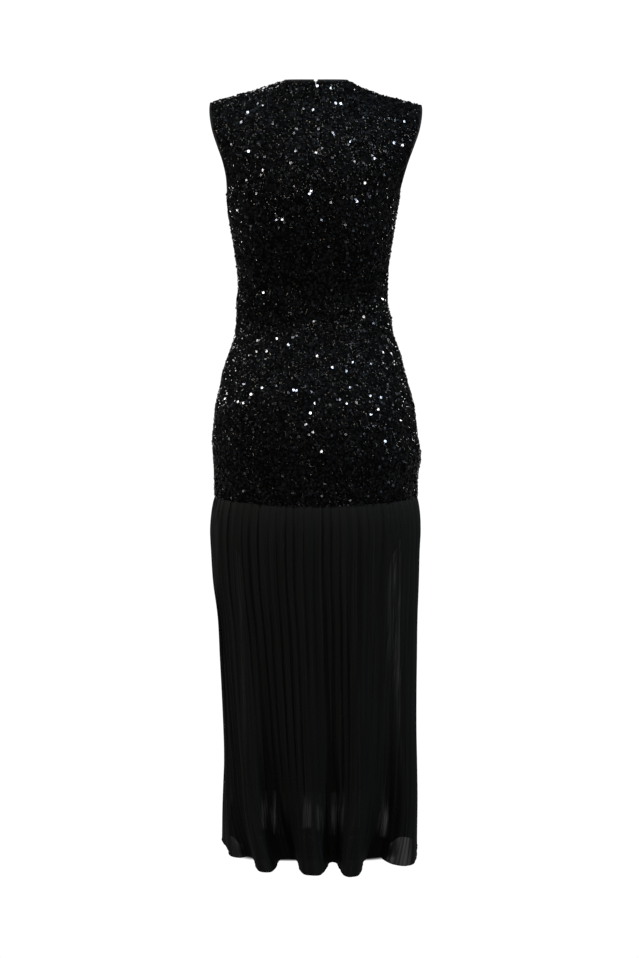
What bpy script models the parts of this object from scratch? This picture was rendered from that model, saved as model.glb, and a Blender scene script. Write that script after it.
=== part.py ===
"""Maxi dress in its worn form, with no wearer: sequinned bodice, pleated sheer skirt, slip lining.

Metres, +Z up. The back of the dress faces +Y and the wearer's left is +X. The origin lies
midway between the neck ends of the two shoulder seams. The tables below are in millimetres.
"""

import math

import bpy
import numpy as np

MM = 0.001
SHARP_ANGLE = math.radians(40.0)

# Cloth walls and the gaps that part the pieces at their seams.
BODICE_WALL = 2.2
SKIRT_WALL = 1.0
LINING_WALL = 1.0
BAND_WIDTH = 4.0
BAND_CORNER_ALONG = 0.8
BAND_CORNER_ACROSS = 0.6
TAPE_WALL = 1.0
SEAM_GAP = 0.3

# The neckline: half width at the shoulder seams, and the centre points, back and front.
NECK_HALF_WIDTH = 56.0
NECK_SHOULDER_Z = -2.0
NECK_BACK_Y = 54.0
NECK_BACK_Z = -5.0
NECK_FRONT_Y = -61.0
NECK_FRONT_Z = -42.0
NECK_DROP_POWER = 1.5

# The centre back opening: narrow along the zip, wider beside the slider, with rounded corners.
SLOT_HALF_WIDTH = 0.3
SLIDER_SLOT_HALF_WIDTH = 1.5
SLOT_ROWS = 1
NOTCH_DROP = 6.0
NOTCH_SHOULDER = 0.8

# Columns of a back half: three at fixed distances from the centre, for the opening and the
# zip tape, then shares of the way to the side, with the last neckline column named.
FIXED_X = (SLOT_HALF_WIDTH, 5.0, 12.0)
SHARES = (0.16, 0.25, 0.34, 0.43, 0.52, 0.61, 0.70, 0.79, 0.865, 0.935, 1.0)
NECK_ANGLES = (30.0, 50.0, 70.0, 90.0)
NECK_COLUMN = 6

# Rows: the shoulder blades, the foot of the armhole, and the hip seam.
YOKE_ROWS = 5
ARMHOLE_ROW = 9
LAST_ROW = 26

# How far each column of the yoke fans out to the side as it leaves the top row, in degrees.
FAN = (0, 2, 4, 14, 26, 36, 40, 27, 17, 10, 5, 2, 0, 0)

# Skirt pleats: knife edges all round, each of two flanks.
PLEATS = 64
FLANK = 14.0
PLEAT_DEPTH_AT_SEAM = 3.0
PLEATS_OPEN_BY_Z = -745.0
PLEATS_OPENING_POWER = 0.7
CREST_SHARE = 0.62
SHALLOWEST_PLEAT = 1.5

# Heights of the hip seam and the two hems.
SEAM_Z = -691.0
LINING_HEM_Z = -1203.0
HEM_Z = -1335.0

# Zip, slider and pull tab.
ZIP_LAST_ROW = 20
TAPE_TOP_ROW = 0.45
CHAIN_TOP_ROW = 1.5
COIL_HALF_WIDTH = 2.2
COIL_DEPTH = 1.4
HINGE_BELOW_EDGE = 5.5
HINGE_HEIGHT = 2.1
PULL_LENGTH = 16.0
PULL_THICKNESS = 1.1
PULL_EDGE_INSET = 0.2
PULL_EDGE_DEPTH = 0.25
PULL_END_CLEARANCE = 1.1


def table(columns, *rows):
    """A short table as one array for each named column."""
    return {name: np.array(values) for name, values in zip(columns.split(), zip(*rows))}


# Upper rows, from the neckline and shoulder seam (0) to the shoulder blades (5). The share is
# how far a row has come, and the edge is the armhole's.
YOKE = table(
    "name share edge_x edge_z back_edge front_edge",
    ("neckline and shoulder", 0.00, 171.0, -38.0, 0.0, 0.0),
    ("shoulder top", 0.10, 171.5, -47.0, 13.0, -11.0),
    ("shoulder cap", 0.26, 170.0, -62.0, 28.0, -25.0),
    ("upper armhole", 0.48, 166.0, -82.0, 41.0, -38.0),
    ("mid armhole", 0.74, 158.5, -106.0, 49.5, -45.5),
    ("shoulder blades", 1.00, 150.5, -131.0, 51.5, -47.0),
)

# Rows from the shoulder blades (5) down to the hip seam (26).
BODICE = table(
    "name edge_x edge_z back_z back_y back_edge front_z front_y front_edge square closure shift",
    ("blades", 150.5, -131, -148, 102, 51.5, -145, -109, -47, 2.5, 1.2, 0.5),
    ("lower armhole", 145.0, -155, -168, 104, 44, -166, -115, -40, 2.6, 1.35, 1.5),
    ("scye", 143.0, -172, -182, 104, 32, -181, -119, -29, 2.7, 1.53, 3.0),
    ("scye turn", 142.8, -184, -192, 104, 17, -193, -122, -15.5, 2.85, 1.77, 4.0),
    ("underarm", 143.5, -190, -202, 103, 0, -205, -125, 0, 3.0, 2, 4.5),
    ("upper bust", 138.8, -224, -230, 100, 0, -233, -130.5, 0, 2.85, 2, 6.0),
    ("bust", 134.0, -255, -257, 95, 0, -260, -132.5, 0, 2.7, 2, 5.5),
    ("under bust", 129.5, -283, -284, 88, 0, -286, -128.5, 0, 2.55, 2, 5.5),
    ("ribs", 126.2, -311, -311, 80, 0, -312, -119, 0, 2.4, 2, 5.5),
    ("high waist", 124.8, -339, -339, 73, 0, -339, -106, 0, 2.25, 2, 5.0),
    ("waist", 125.0, -366, -366, 69, 0, -366, -95.5, 0, 2.2, 2, 5.0),
    ("low waist", 128.3, -393, -393, 69.5, 0, -393, -91, 0, 2.2, 2, 4.5),
    ("waist flare", 133.0, -420, -420, 75, 0, -420, -92.5, 0, 2.2, 2, 3.5),
    ("top hip", 141.5, -448, -448, 86, 0, -448, -97, 0, 2.2, 2, 3.0),
    ("high hip", 150.5, -476, -476, 99, 0, -476, -101, 0, 2.25, 2, 2.5),
    ("upper seat", 158.6, -505, -505, 110, 0, -505, -103, 0, 2.25, 2, 2.5),
    ("seat", 166.5, -535, -535, 118, 0, -535, -103, 0, 2.25, 2, 2.0),
    ("full seat", 170.5, -565, -565, 123, 0, -565, -101, 0, 2.25, 2, 1.5),
    ("hip", 173.0, -595, -595, 125, 0, -595, -99, 0, 2.25, 2, 0.5),
    ("full hip", 174.3, -625, -625, 124, 0, -625, -97.5, 0, 2.25, 2, -0.5),
    ("low hip", 172.5, -658, -658, 121, 0, -658, -96.5, 0, 2.25, 2, 0.0),
    ("hip seam", 172.5, SEAM_Z, SEAM_Z, 117, 0, SEAM_Z, -96, 0, 2.25, 2, 0.0),
)

# Soft folds that run in from the side seams, each with its height, half height and depth, on
# the wearer's left (1) or right (-1).
DRAPES = table(
    "name z spread depth side",
    ("left waist", -366.0, 15.0, 2.4, 1),
    ("right waist", -393.0, 16.0, 2.2, -1),
    ("left high hip", -476.0, 16.0, 2.0, 1),
    ("right high hip", -448.0, 16.0, 2.2, -1),
    ("left hip", -595.0, 16.0, 1.6, 1),
    ("right hip", -625.0, 15.0, 2.6, -1),
)

# How steeply the cloth leaves the neckline's centre and the shoulder seam: out, and down.
LEAVES_BACK_NECK = (0.28, -0.96)
LEAVES_FRONT_NECK = (0.42, -0.91)
LEAVES_SHOULDER = (0.90, -0.43)
CENTRE_LEAVES = {"back": LEAVES_BACK_NECK, "front": LEAVES_FRONT_NECK}

# How closely a yoke row keeps to its own curve before it bends to the armhole's edge.
EDGE_PULL_POWER = 5

# The shoulder seams: the wearer's left one is straight with a higher tip, the right one dips,
# most of all nearer to the neck.
DIP_POWER = 0.7
SHOULDERS = {"left": {"lift": 3.0, "dip": 0.5}, "right": {"lift": -1.0, "dip": 4.5}}

# Skirt rings, by the pleats' outer folds: half widths left and right, depths back and front,
# and how far the hem's flutes have formed.
SKIRT = table(
    "name z left right back front flutes",
    ("seam", SEAM_Z - SEAM_GAP, 173.0, 173.0, 117.5, 96.5, 0.0),
    ("under seam", -703.0, 175.5, 175.0, 119.5, 98.5, 0.0),
    ("swell", -721.0, 178.5, 177.5, 122.0, 101.5, 0.0),
    ("fullest", -748.0, 181.0, 179.0, 123.0, 103.5, 0.0),
    ("upper thigh", -790.0, 180.0, 177.5, 121.5, 104.0, 0.01),
    ("thigh", -840.0, 177.5, 176.5, 119.0, 104.0, 0.03),
    ("lower thigh", -905.0, 170.5, 174.5, 116.0, 104.0, 0.07),
    ("knee", -975.0, 168.0, 174.0, 113.0, 104.0, 0.13),
    ("below knee", -1045.0, 165.5, 173.5, 111.0, 104.0, 0.20),
    ("calf", -1110.0, 163.5, 174.0, 109.5, 104.0, 0.29),
    ("low calf", -1170.0, 163.0, 176.0, 108.0, 104.0, 0.41),
    ("ankle", -1228.0, 166.5, 178.0, 107.0, 104.0, 0.57),
    ("above hem", -1283.0, 169.5, 178.5, 106.0, 104.0, 0.79),
    ("hem", HEM_Z, 170.0, 178.5, 106.0, 104.0, 1.0),
)
SKIRT_SQUARE = 2.25

# The hem in plan, by its outer folds, from the wearer's left side across the back to the right,
# then on across the front.
HEM_BACK = table(
    "name x y",
    ("left side", 155.0, -25.0),
    ("left corner flute", 151.0, -2.0),
    ("", 134.0, 9.0),
    ("first valley", 118.0, 4.0),
    ("", 108.0, 36.0),
    ("left flute", 97.0, 74.0),
    ("", 79.0, 77.0),
    ("", 67.0, 44.0),
    ("second valley", 57.0, 14.0),
    ("", 39.0, 15.0),
    ("", 30.0, 56.0),
    ("centre flute", 17.0, 90.0),
    ("", -5.0, 94.0),
    ("", -18.0, 60.0),
    ("third valley", -28.0, 32.0),
    ("", -38.0, 38.0),
    ("", -45.0, 85.0),
    ("right of centre flute", -59.0, 103.0),
    ("", -75.0, 88.0),
    ("", -83.0, 42.0),
    ("fourth valley", -94.0, 9.0),
    ("", -112.0, 5.0),
    ("", -124.0, 32.0),
    ("right corner flute", -144.0, 58.0),
    ("", -163.0, 49.0),
    ("", -173.0, 8.0),
    ("right side", -178.0, -25.0),
)
HEM_FRONT = table(
    "name x y",
    ("right side", -178.0, -25.0),
    ("", -180.0, -62.0),
    ("right corner flute", -170.0, -94.0),
    ("", -150.0, -99.0),
    ("", -134.0, -70.0),
    ("first valley", -119.0, -43.0),
    ("", -103.0, -52.0),
    ("", -93.0, -86.0),
    ("right flute", -77.0, -107.0),
    ("", -58.0, -98.0),
    ("", -46.0, -62.0),
    ("second valley", -32.0, -40.0),
    ("", -15.0, -49.0),
    ("", -5.0, -84.0),
    ("centre flute", 11.0, -106.0),
    ("", 30.0, -97.0),
    ("", 41.0, -62.0),
    ("third valley", 54.0, -38.0),
    ("", 72.0, -45.0),
    ("", 84.0, -81.0),
    ("left flute", 99.0, -103.0),
    ("", 117.0, -90.0),
    ("", 126.0, -66.0),
    ("fourth valley", 138.0, -68.0),
    ("left corner flute", 151.0, -103.0),
    ("", 168.0, -108.0),
    ("", 169.0, -78.0),
    ("", 160.0, -48.0),
    ("left side", 155.0, -25.0),
)

# Slip lining rings, by the outer face, with the depth of its soft folds.
LINING = table(
    "name z half_width back front folds",
    ("seam", SEAM_Z - SEAM_GAP, 167.0, 111.5, 91.0, 0.0),
    ("under seam", -722.0, 164.0, 107.0, 89.0, 0.0),
    ("taper", -760.0, 148.0, 102.0, 86.0, 0.6),
    ("upper thigh", -800.0, 131.0, 95.0, 82.0, 1.5),
    ("thigh", -860.0, 122.5, 85.0, 76.0, 2.5),
    ("knee", -940.0, 120.0, 74.0, 68.0, 3.5),
    ("below knee", -1020.0, 119.5, 66.0, 62.0, 4.2),
    ("calf", -1100.0, 120.0, 60.0, 57.0, 4.8),
    ("above hem", -1160.0, 121.0, 57.0, 54.0, 5.2),
    ("hem", LINING_HEM_Z, 122.0, 55.0, 52.0, 5.5),
)
LINING_SQUARE = 2.2
LINING_COLUMNS = 24
FOLD_CREST = 1.6
FOLD_TROUGH = 0.4

# Soft folds of the lining, by their place round the half (0 at the left side) and their width.
LINING_FOLDS = table(
    "name place width depth",
    ("left", 0.16, 0.050, 1.0),
    ("left of centre", 0.37, 0.060, 0.8),
    ("centre", 0.55, 0.050, 0.6),
    ("right of centre", 0.72, 0.055, 0.9),
    ("right", 0.88, 0.045, 1.0),
)

# Slider and pull tab outlines, in mm from the hinge axis: across, and down the zip.
SLIDER_OUTLINE = table(
    "across down",
    (1.4, -4.6),
    (2.8, -4.1),
    (3.5, -2.6),
    (3.5, 2.4),
    (3.1, 5.0),
    (2.2, 6.2),
    (-2.2, 6.2),
    (-3.1, 5.0),
    (-3.5, 2.4),
    (-3.5, -2.6),
    (-2.8, -4.1),
    (-1.4, -4.6),
)
SLIDER_OUTER = -2.8
SLIDER_INNER = -5.6
SLIDER_CHAMFER = 0.5
BAIL_HALF_WIDTH = 0.8
BAIL_OUTER = table(
    "down out",
    (-3.4, -3.4),
    (-3.4, 1.3),
    (-3.0, 2.9),
    (-1.8, 3.9),
    (1.8, 3.9),
    (3.0, 2.9),
    (3.4, 1.3),
    (3.4, -3.4),
)
BAIL_INNER = table(
    "down out",
    (-2.5, 0.75),
    (-2.5, 1.3),
    (-2.2, 2.3),
    (-1.4, 3.1),
    (1.4, 3.1),
    (2.2, 2.3),
    (2.5, 1.3),
    (2.5, 0.75),
)
PULL_OUTER = table(
    "across down",
    (0.0, -0.8),
    (1.6, -0.8),
    (2.4, 0.0),
    (2.6, 2.0),
    (2.5, 4.4),
    (1.7, 7.0),
    (1.9, 11.0),
    (1.6, 15.0),
    (0.0, PULL_LENGTH),
    (-1.6, 15.0),
    (-1.9, 11.0),
    (-1.7, 7.0),
    (-2.5, 4.4),
    (-2.6, 2.0),
    (-2.4, 0.0),
    (-1.6, -0.8),
)
PULL_WINDOW = table(
    "across down",
    (0.0, 0.75),
    (0.8, 0.75),
    (1.35, 1.1),
    (1.4, 2.0),
    (1.4, 3.2),
    (1.35, 4.0),
    (1.0, 4.5),
    (0.5, 4.7),
    (0.0, 4.7),
    (-0.5, 4.7),
    (-1.0, 4.5),
    (-1.35, 4.0),
    (-1.4, 3.2),
    (-1.4, 2.0),
    (-1.35, 1.1),
    (-0.8, 0.75),
)

# Colours, linear, with roughness and metallic.
FINISHES = {
    "sequinned cloth": ((0.0055, 0.0062, 0.0070), 0.45, 0.2),
    "turned binding": ((0.0040, 0.0042, 0.0046), 0.75, 0.0),
    "chiffon": ((0.0038, 0.0042, 0.0045), 0.7, 0.0),
    "lining cloth": ((0.0025, 0.0027, 0.0030), 0.8, 0.0),
    "zip tape": ((0.0050, 0.0050, 0.0055), 0.8, 0.0),
    "zip metal": ((0.30, 0.31, 0.32), 0.35, 1.0),
}


def clear_scene():
    for item in list(bpy.data.objects):
        bpy.data.objects.remove(item)


def smooth(at, knots, values):
    """A cubic through the values, whose slope at each knot comes from its two neighbours."""
    slopes = np.gradient(values, knots, axis=0)
    low = int(np.clip(np.searchsorted(knots, at) - 1, 0, len(knots) - 2))
    width = knots[low + 1] - knots[low]
    t = (at - knots[low]) / width
    return (
        (1 + 2 * t) * (1 - t) ** 2 * values[low]
        + t * (1 - t) ** 2 * width * slopes[low]
        + t * t * (3 - 2 * t) * values[low + 1]
        + t * t * (t - 1) * width * slopes[low + 1]
    )


def unit(vectors):
    vectors = np.asarray(vectors, float)
    return vectors / np.linalg.norm(vectors, axis=-1, keepdims=True)


def columns_across(edge_x, crowding):
    """Distances of a half's columns from the centre, closer together at a rounded side."""
    shares = np.array(SHARES)
    shares = (1 - crowding) * shares + crowding * np.sin(shares * math.pi / 2)
    return np.concatenate([FIXED_X, edge_x * shares])


def bodice_row(row, face):
    """Points of one half row below the yoke, from the centre to the left edge."""
    at = {
        name: smooth(row - YOKE_ROWS, np.arange(len(values)), values)
        for name, values in BODICE.items()
        if name != "name"
    }
    x = columns_across(at["edge_x"], np.clip(at["closure"] - 1, 0, 1))
    share = x / at["edge_x"]
    edge_y = at[face + "_edge"]
    rise = (1 - np.clip(share, 0, 1) ** at["square"]) ** (1 / at["closure"])
    y = edge_y + (at[face + "_y"] - edge_y) * rise
    z = at[face + "_z"] + (at["edge_z"] - at[face + "_z"]) * share**2
    return np.stack([x, y, z], axis=1)


def top_row(face, shoulder):
    """The neckline's arc and then the shoulder seam, from the centre to the shoulder tip."""
    depth, drop = (
        (NECK_BACK_Y, NECK_BACK_Z) if face == "back" else (NECK_FRONT_Y, NECK_FRONT_Z)
    )
    fixed = np.arcsin(np.array(FIXED_X) / NECK_HALF_WIDTH)
    angle = np.concatenate([fixed, np.radians(NECK_ANGLES)])
    neck = np.stack(
        [
            NECK_HALF_WIDTH * np.sin(angle),
            depth * np.cos(angle),
            NECK_SHOULDER_Z + (drop - NECK_SHOULDER_Z) * np.cos(angle) ** NECK_DROP_POWER,
        ],
        axis=1,
    )
    tip = np.array([YOKE["edge_x"][0], 0.0, YOKE["edge_z"][0] + shoulder["lift"]])
    steps = len(FIXED_X) + len(SHARES) - len(neck)
    way = (np.arange(steps) + 1)[:, None] / steps
    seam = neck[-1] + (tip - neck[-1]) * way
    seam[:, 2] -= shoulder["dip"] * np.sin(way[:, 0] ** DIP_POWER * math.pi)
    return np.vstack([neck, seam])


def yoke_row(row, face, shoulder):
    """Points of one half row above the shoulder blades, eased from the neckline and shoulder."""
    knots = np.arange(YOKE_ROWS + 1)
    share = smooth(row, knots, YOKE["share"])
    top = top_row(face, shoulder)
    blades = bodice_row(YOKE_ROWS, face)
    reach = np.linalg.norm(blades - top, axis=1, keepdims=True)
    turn = np.ones(len(top))
    turn[: NECK_COLUMN + 1] = 1 - np.cos(np.arcsin(top[: NECK_COLUMN + 1, 0] / NECK_HALF_WIDTH))
    out, down = np.outer(1 - turn, CENTRE_LEAVES[face]).T + np.outer(turn, LEAVES_SHOULDER).T
    fan = np.radians(FAN)
    side = 1 if face == "back" else -1
    leaves = unit(np.stack([out * np.sin(fan), out * np.cos(fan) * side, down], axis=1)) * reach
    arrives = unit(bodice_row(YOKE_ROWS + 1, face) - blades) * reach
    points = (
        (1 + 2 * share) * (1 - share) ** 2 * top
        + share * (1 - share) ** 2 * leaves
        + share * share * (3 - 2 * share) * blades
        + share * share * (share - 1) * arrives
    )
    edge = [smooth(row, knots, YOKE[name]) for name in ("edge_x", face + "_edge", "edge_z")]
    edge[2] += shoulder["lift"] * (1 - row / YOKE_ROWS)
    pull = (points[:, :1] / points[-1, 0]) ** EDGE_PULL_POWER
    points = points + (np.array(edge) - points[-1]) * pull
    points[: len(FIXED_X), 0] = FIXED_X
    return points


def add_drapes(points, face, side):
    """Moves a half row out along its soft side folds."""
    half = points[-1, 0]
    depth = abs(points[0, 1])
    outward = unit(np.stack([points[:, 0] / half**2, points[:, 1] / depth**2], axis=1))
    for z, spread, height, where in zip(
        DRAPES["z"], DRAPES["spread"], DRAPES["depth"], DRAPES["side"]
    ):
        if where == side:
            swell = height * np.exp(-(((points[:, 2] - z) / spread) ** 2))
            points[:, :2] += outward * (swell * (points[:, 0] / half) ** 2)[:, None]
    return points


def half_panel(face, side):
    """Outer points of a half of the front or back, by row and column, on the left (1) or right."""
    shoulder = SHOULDERS["left" if side > 0 else "right"]
    rows = []
    for row in range(LAST_ROW + 1):
        points = yoke_row(row, face, shoulder) if row < YOKE_ROWS else bodice_row(row, face)
        if row > ARMHOLE_ROW:
            points = add_drapes(points, face, side)
        shift = BODICE["shift"][max(row - YOKE_ROWS, 0)] * max(0.0, min(1.0, row / YOKE_ROWS))
        points[:, 0] = points[:, 0] * side
        points[len(FIXED_X) :, 0] += shift * (points[len(FIXED_X) :, 0] / points[-1, 0])
        rows.append(points)
    return np.array(rows)


def normals_of(grid):
    """Unit normals of a grid of points, pointing away from the garment's axis."""
    down = np.gradient(grid, axis=0)
    across = np.gradient(grid, axis=1)
    normal = unit(np.cross(down, across))
    return normal if (grid * (1, 1, 0) * normal).sum() > 0 else -normal


def settle_seams(normal):
    """Keeps a half's normals in the planes of its seams, so that neighbours stay parallel."""
    normal[0, NECK_COLUMN:, 1] = 0
    normal[ARMHOLE_ROW:, -1, 1] = 0
    normal[:, 0, 0] = 0
    return unit(normal)


def finish_of(name):
    """The Principled material of one node."""
    kind = KINDS[name]
    colour, roughness, metallic = FINISHES[kind]
    material = bpy.data.materials.new(name + " " + kind)
    material.use_nodes = True
    shader = material.node_tree.nodes["Principled BSDF"]
    shader.inputs["Base Color"].default_value = (*colour, 1)
    shader.inputs["Roughness"].default_value = roughness
    shader.inputs["Metallic"].default_value = metallic
    material.diffuse_color = (*colour, 1)
    return material


def add_mesh(name, points, faces, origin=(0.0, 0.0, 0.0)):
    """One named object with its own origin, its faces turned to point outwards."""
    points = (np.asarray(points, float) - origin) * MM
    volume = 0.0
    for face in faces:
        for second, third in zip(face[1:-1], face[2:]):
            volume += np.dot(points[face[0]], np.cross(points[second], points[third]))
    if volume < 0:
        faces = [tuple(reversed(face)) for face in faces]
    mesh = bpy.data.meshes.new(name)
    mesh.from_pydata(points.tolist(), [], [tuple(int(i) for i in face) for face in faces])
    mesh.materials.append(finish_of(name))
    mesh.shade_smooth()
    mesh.set_sharp_from_angle(angle=SHARP_ANGLE)
    item = bpy.data.objects.new(name, mesh)
    item.location = np.asarray(origin) * MM
    bpy.context.scene.collection.objects.link(item)
    return item


def add_wall(name, outer, inner):
    """A cloth wall between two grids of the same shape, closed round its rim.

    Both faces are split along the same, shorter diagonals, so that a twisted wall keeps its
    thickness.
    """
    rows, columns = outer.shape[:2]
    index = np.arange(rows * columns).reshape(rows, columns)
    far = rows * columns
    falling = np.linalg.norm(outer[1:, 1:] - outer[:-1, :-1], axis=2)
    rising = np.linalg.norm(outer[1:, :-1] - outer[:-1, 1:], axis=2)
    faces = []
    for i in range(rows - 1):
        for j in range(columns - 1):
            corner = [index[i, j], index[i + 1, j], index[i + 1, j + 1], index[i, j + 1]]
            if rising[i, j] < falling[i, j]:
                corner = corner[1:] + corner[:1]
            for half in ((corner[0], corner[1], corner[2]), (corner[0], corner[2], corner[3])):
                faces.append(half)
                faces.append(tuple(k + far for k in reversed(half)))
    rim = np.concatenate([index[0], index[1:, -1], index[-1, -2::-1], index[-2:0:-1, 0]])
    for here, there in zip(rim, np.roll(rim, -1)):
        faces.append((here, there, there + far, here + far))
    points = np.concatenate([outer.reshape(-1, 3), inner.reshape(-1, 3)])
    return add_mesh(name, points, faces)


def add_loft(name, sections, closed):
    """A solid through sections of equally many points, capped unless its path closes."""
    sections = np.asarray(sections)
    stations, size = sections.shape[:2]
    faces = []
    for i in range(stations if closed else stations - 1):
        first, second = i * size, (i + 1) % stations * size
        for j in range(size):
            after = (j + 1) % size
            faces.append((first + j, first + after, second + after, second + j))
    if not closed:
        faces.append(tuple(range(size - 1, -1, -1)))
        faces.append(tuple(range((stations - 1) * size, stations * size)))
    return add_mesh(name, sections.reshape(-1, 3), faces)


def joined(left, right):
    """One grid from two mirrored halves that share their centre column."""
    return np.concatenate([left[:, :0:-1], right], axis=1)


def bodice_halves():
    """Outer and inner grids of each half, with their normals."""
    halves = {}
    for face in ("back", "front"):
        for side_name, side in (("left", 1), ("right", -1)):
            outer = half_panel(face, side)
            if face == "front":
                outer[:, 0, 0] = 0
            normal = settle_seams(normals_of(outer))
            gap = SEAM_GAP / 2 * (1 if face == "back" else -1)
            outer[0, NECK_COLUMN:, 1] += gap
            outer[ARMHOLE_ROW:, -1, 1] += gap
            if face == "back":
                outer[: SLOT_ROWS + 1, 0, 0] = side * SLIDER_SLOT_HALF_WIDTH
                outer[0, 0, 2] -= NOTCH_DROP
                outer[0, 1, 2] -= NOTCH_SHOULDER
            halves[face, side_name] = {
                "outer": outer,
                "inner": outer - normal * BODICE_WALL,
                "normal": normal,
            }
    return halves


def build_bodice(halves):
    for side in ("left", "right"):
        half = halves["back", side]
        add_wall("back_" + side, half["outer"], half["inner"])
    left, right = halves["front", "left"], halves["front", "right"]
    add_wall(
        "front",
        joined(left["outer"], right["outer"]),
        joined(left["inner"], right["inner"]),
    )


def edge_stations(half, edge):
    """Mid points of a half's neckline or armhole edge, the wall's direction, and inner neighbours."""
    middle = (half["outer"] + half["inner"]) / 2
    if edge == "neck":
        at, beside = middle[0, 1 : NECK_COLUMN + 1], middle[1, 1 : NECK_COLUMN + 1]
        normal = half["normal"][0, 1 : NECK_COLUMN + 1]
    else:
        at, beside = middle[: ARMHOLE_ROW + 1, -1], middle[: ARMHOLE_ROW + 1, -2]
        normal = half["normal"][: ARMHOLE_ROW + 1, -1]
    return at, beside, normal


def band_sections(at, beside, normal, closed):
    """Sections of a narrow turned band that runs along a free edge, just off it."""
    if closed:
        along = np.roll(at, -1, axis=0) - np.roll(at, 1, axis=0)
    else:
        along = np.gradient(at, axis=0)
    off = unit(np.cross(normal, unit(along)))
    away = at - beside
    off = off * np.sign((off * away).sum(axis=1, keepdims=True))
    half, inner, outer = BODICE_WALL / 2, SEAM_GAP, SEAM_GAP + BAND_WIDTH
    shape = (
        (-half, inner),
        (half, inner),
        (half, outer - BAND_CORNER_ALONG),
        (half - BAND_CORNER_ACROSS, outer),
        (BAND_CORNER_ACROSS - half, outer),
        (-half, outer - BAND_CORNER_ALONG),
    )
    return np.stack([at + normal * n + off * d for n, d in shape], axis=1)


def build_bands(halves):
    for side in ("left", "right"):
        back = edge_stations(halves["back", side], "armhole")
        front = edge_stations(halves["front", side], "armhole")
        # The two halves share the station at the shoulder tip and the one under the arm.
        ring = []
        for b, f in zip(back, front):
            tip, under = (b[0] + f[0]) / 2, (b[-1] + f[-1]) / 2
            ring.append(np.vstack([tip, b[1:-1], under, f[-2:0:-1]]))
        ring[2] = unit(ring[2])
        add_loft("armhole_binding_" + side, band_sections(*ring, True), True)
    parts = []
    backs = [edge_stations(halves["back", side], "neck") for side in ("left", "right")]
    fronts = [edge_stations(halves["front", side], "neck") for side in ("left", "right")]
    for which in range(3):
        bl, br = backs[0][which], backs[1][which]
        fl, fr = fronts[0][which], fronts[1][which]
        left_shoulder, right_shoulder = (bl[-1] + fl[-1]) / 2, (br[-1] + fr[-1]) / 2
        parts.append(
            np.vstack([bl[:-1], left_shoulder, fl[-2::-1], fr[:-1], right_shoulder, br[-2::-1]])
        )
    parts[2] = unit(parts[2])
    add_loft("neck_binding", band_sections(*parts, False), False)


def between_rows(grid, row):
    """A row of a grid's flat facets at a fraction between two of its rows."""
    low = min(int(row), len(grid) - 2)
    return grid[low] + (grid[low + 1] - grid[low]) * (row - low)


def tape_points(halves, row):
    """Tape points at a row: the panels' inner face at -12, -5, 0, 5 and 12 mm, and inwards."""
    left, right = halves["back", "left"], halves["back", "right"]
    at, inward = [], []
    for half, columns in ((right, (2, 1)), (left, (0, 1, 2))):
        for column in columns:
            at.append(between_rows(half["inner"][:, column], row))
            inward.append(-between_rows(half["normal"][:, column], row))
    at, inward = np.array(at), unit(inward)
    at[2, 0] = 0
    return at, inward


def build_zip(halves):
    """Tape with a notch for the slider at its top, and the closed chain on its inner face."""
    sections = []
    rows = [CHAIN_TOP_ROW] + list(range(2, ZIP_LAST_ROW + 1))
    for row in rows:
        at, inward = tape_points(halves, row)
        face = at + inward * SEAM_GAP
        back = at + inward * (SEAM_GAP + TAPE_WALL)
        ridge = COIL_HALF_WIDTH / FIXED_X[1]
        foot = [back[2] + (back[j] - back[2]) * ridge for j in (1, 3)]
        crown = [foot[k] + inward[2] * COIL_DEPTH for k in (0, 1)]
        sections.append([*face, back[4], back[3], foot[1], crown[1], crown[0], foot[0], back[1], back[0]])
    points = [p for section in sections for p in section]
    size = len(sections[0])
    faces = []
    for i in range(len(sections) - 1):
        for j in range(size):
            after = (j + 1) % size
            faces.append((i * size + j, i * size + after, (i + 1) * size + after, (i + 1) * size + j))
    faces.append(tuple(range((len(sections) - 1) * size, len(sections) * size)))
    faces.append((11, 10, 9, 8, 7, 6, 3, 2, 1))
    # The two arms beside the slider: tape columns, with the point of the first section below.
    arms = (((3, 3), (4, 4), (4, 5), (3, 6)), ((0, 0), (1, 1), (1, 11), (0, 12)))
    for arm in arms:
        below = [corner for _, corner in arm]
        for row in (SLOT_ROWS, TAPE_TOP_ROW):
            at, inward = tape_points(halves, row)
            depths = (SEAM_GAP, SEAM_GAP, SEAM_GAP + TAPE_WALL, SEAM_GAP + TAPE_WALL)
            above = []
            for (column, _), depth in zip(arm, depths):
                above.append(len(points))
                points.append(at[column] + inward[column] * depth)
            for j in range(4):
                after = (j + 1) % 4
                faces.append((above[j], above[after], below[after], below[j]))
            below = above
        faces.append(tuple(reversed(below)))
    add_mesh("back_zip", points, faces)


def zip_frame(halves):
    """Hinge point on the centre back, with directions across, down the zip and outwards."""
    outer = halves["back", "left"]["outer"][:, 0]
    edge, below = outer[0] * (0, 1, 1), outer[1] * (0, 1, 1)
    down = unit(below - edge)
    out = np.array([0.0, -down[2], down[1]])
    return edge + down * HINGE_BELOW_EDGE + out * HINGE_HEIGHT, down, out


def placed(frame, across, down, out):
    origin, along, outward = frame
    return origin + np.array([1.0, 0, 0]) * across + along * down + outward * out


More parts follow.
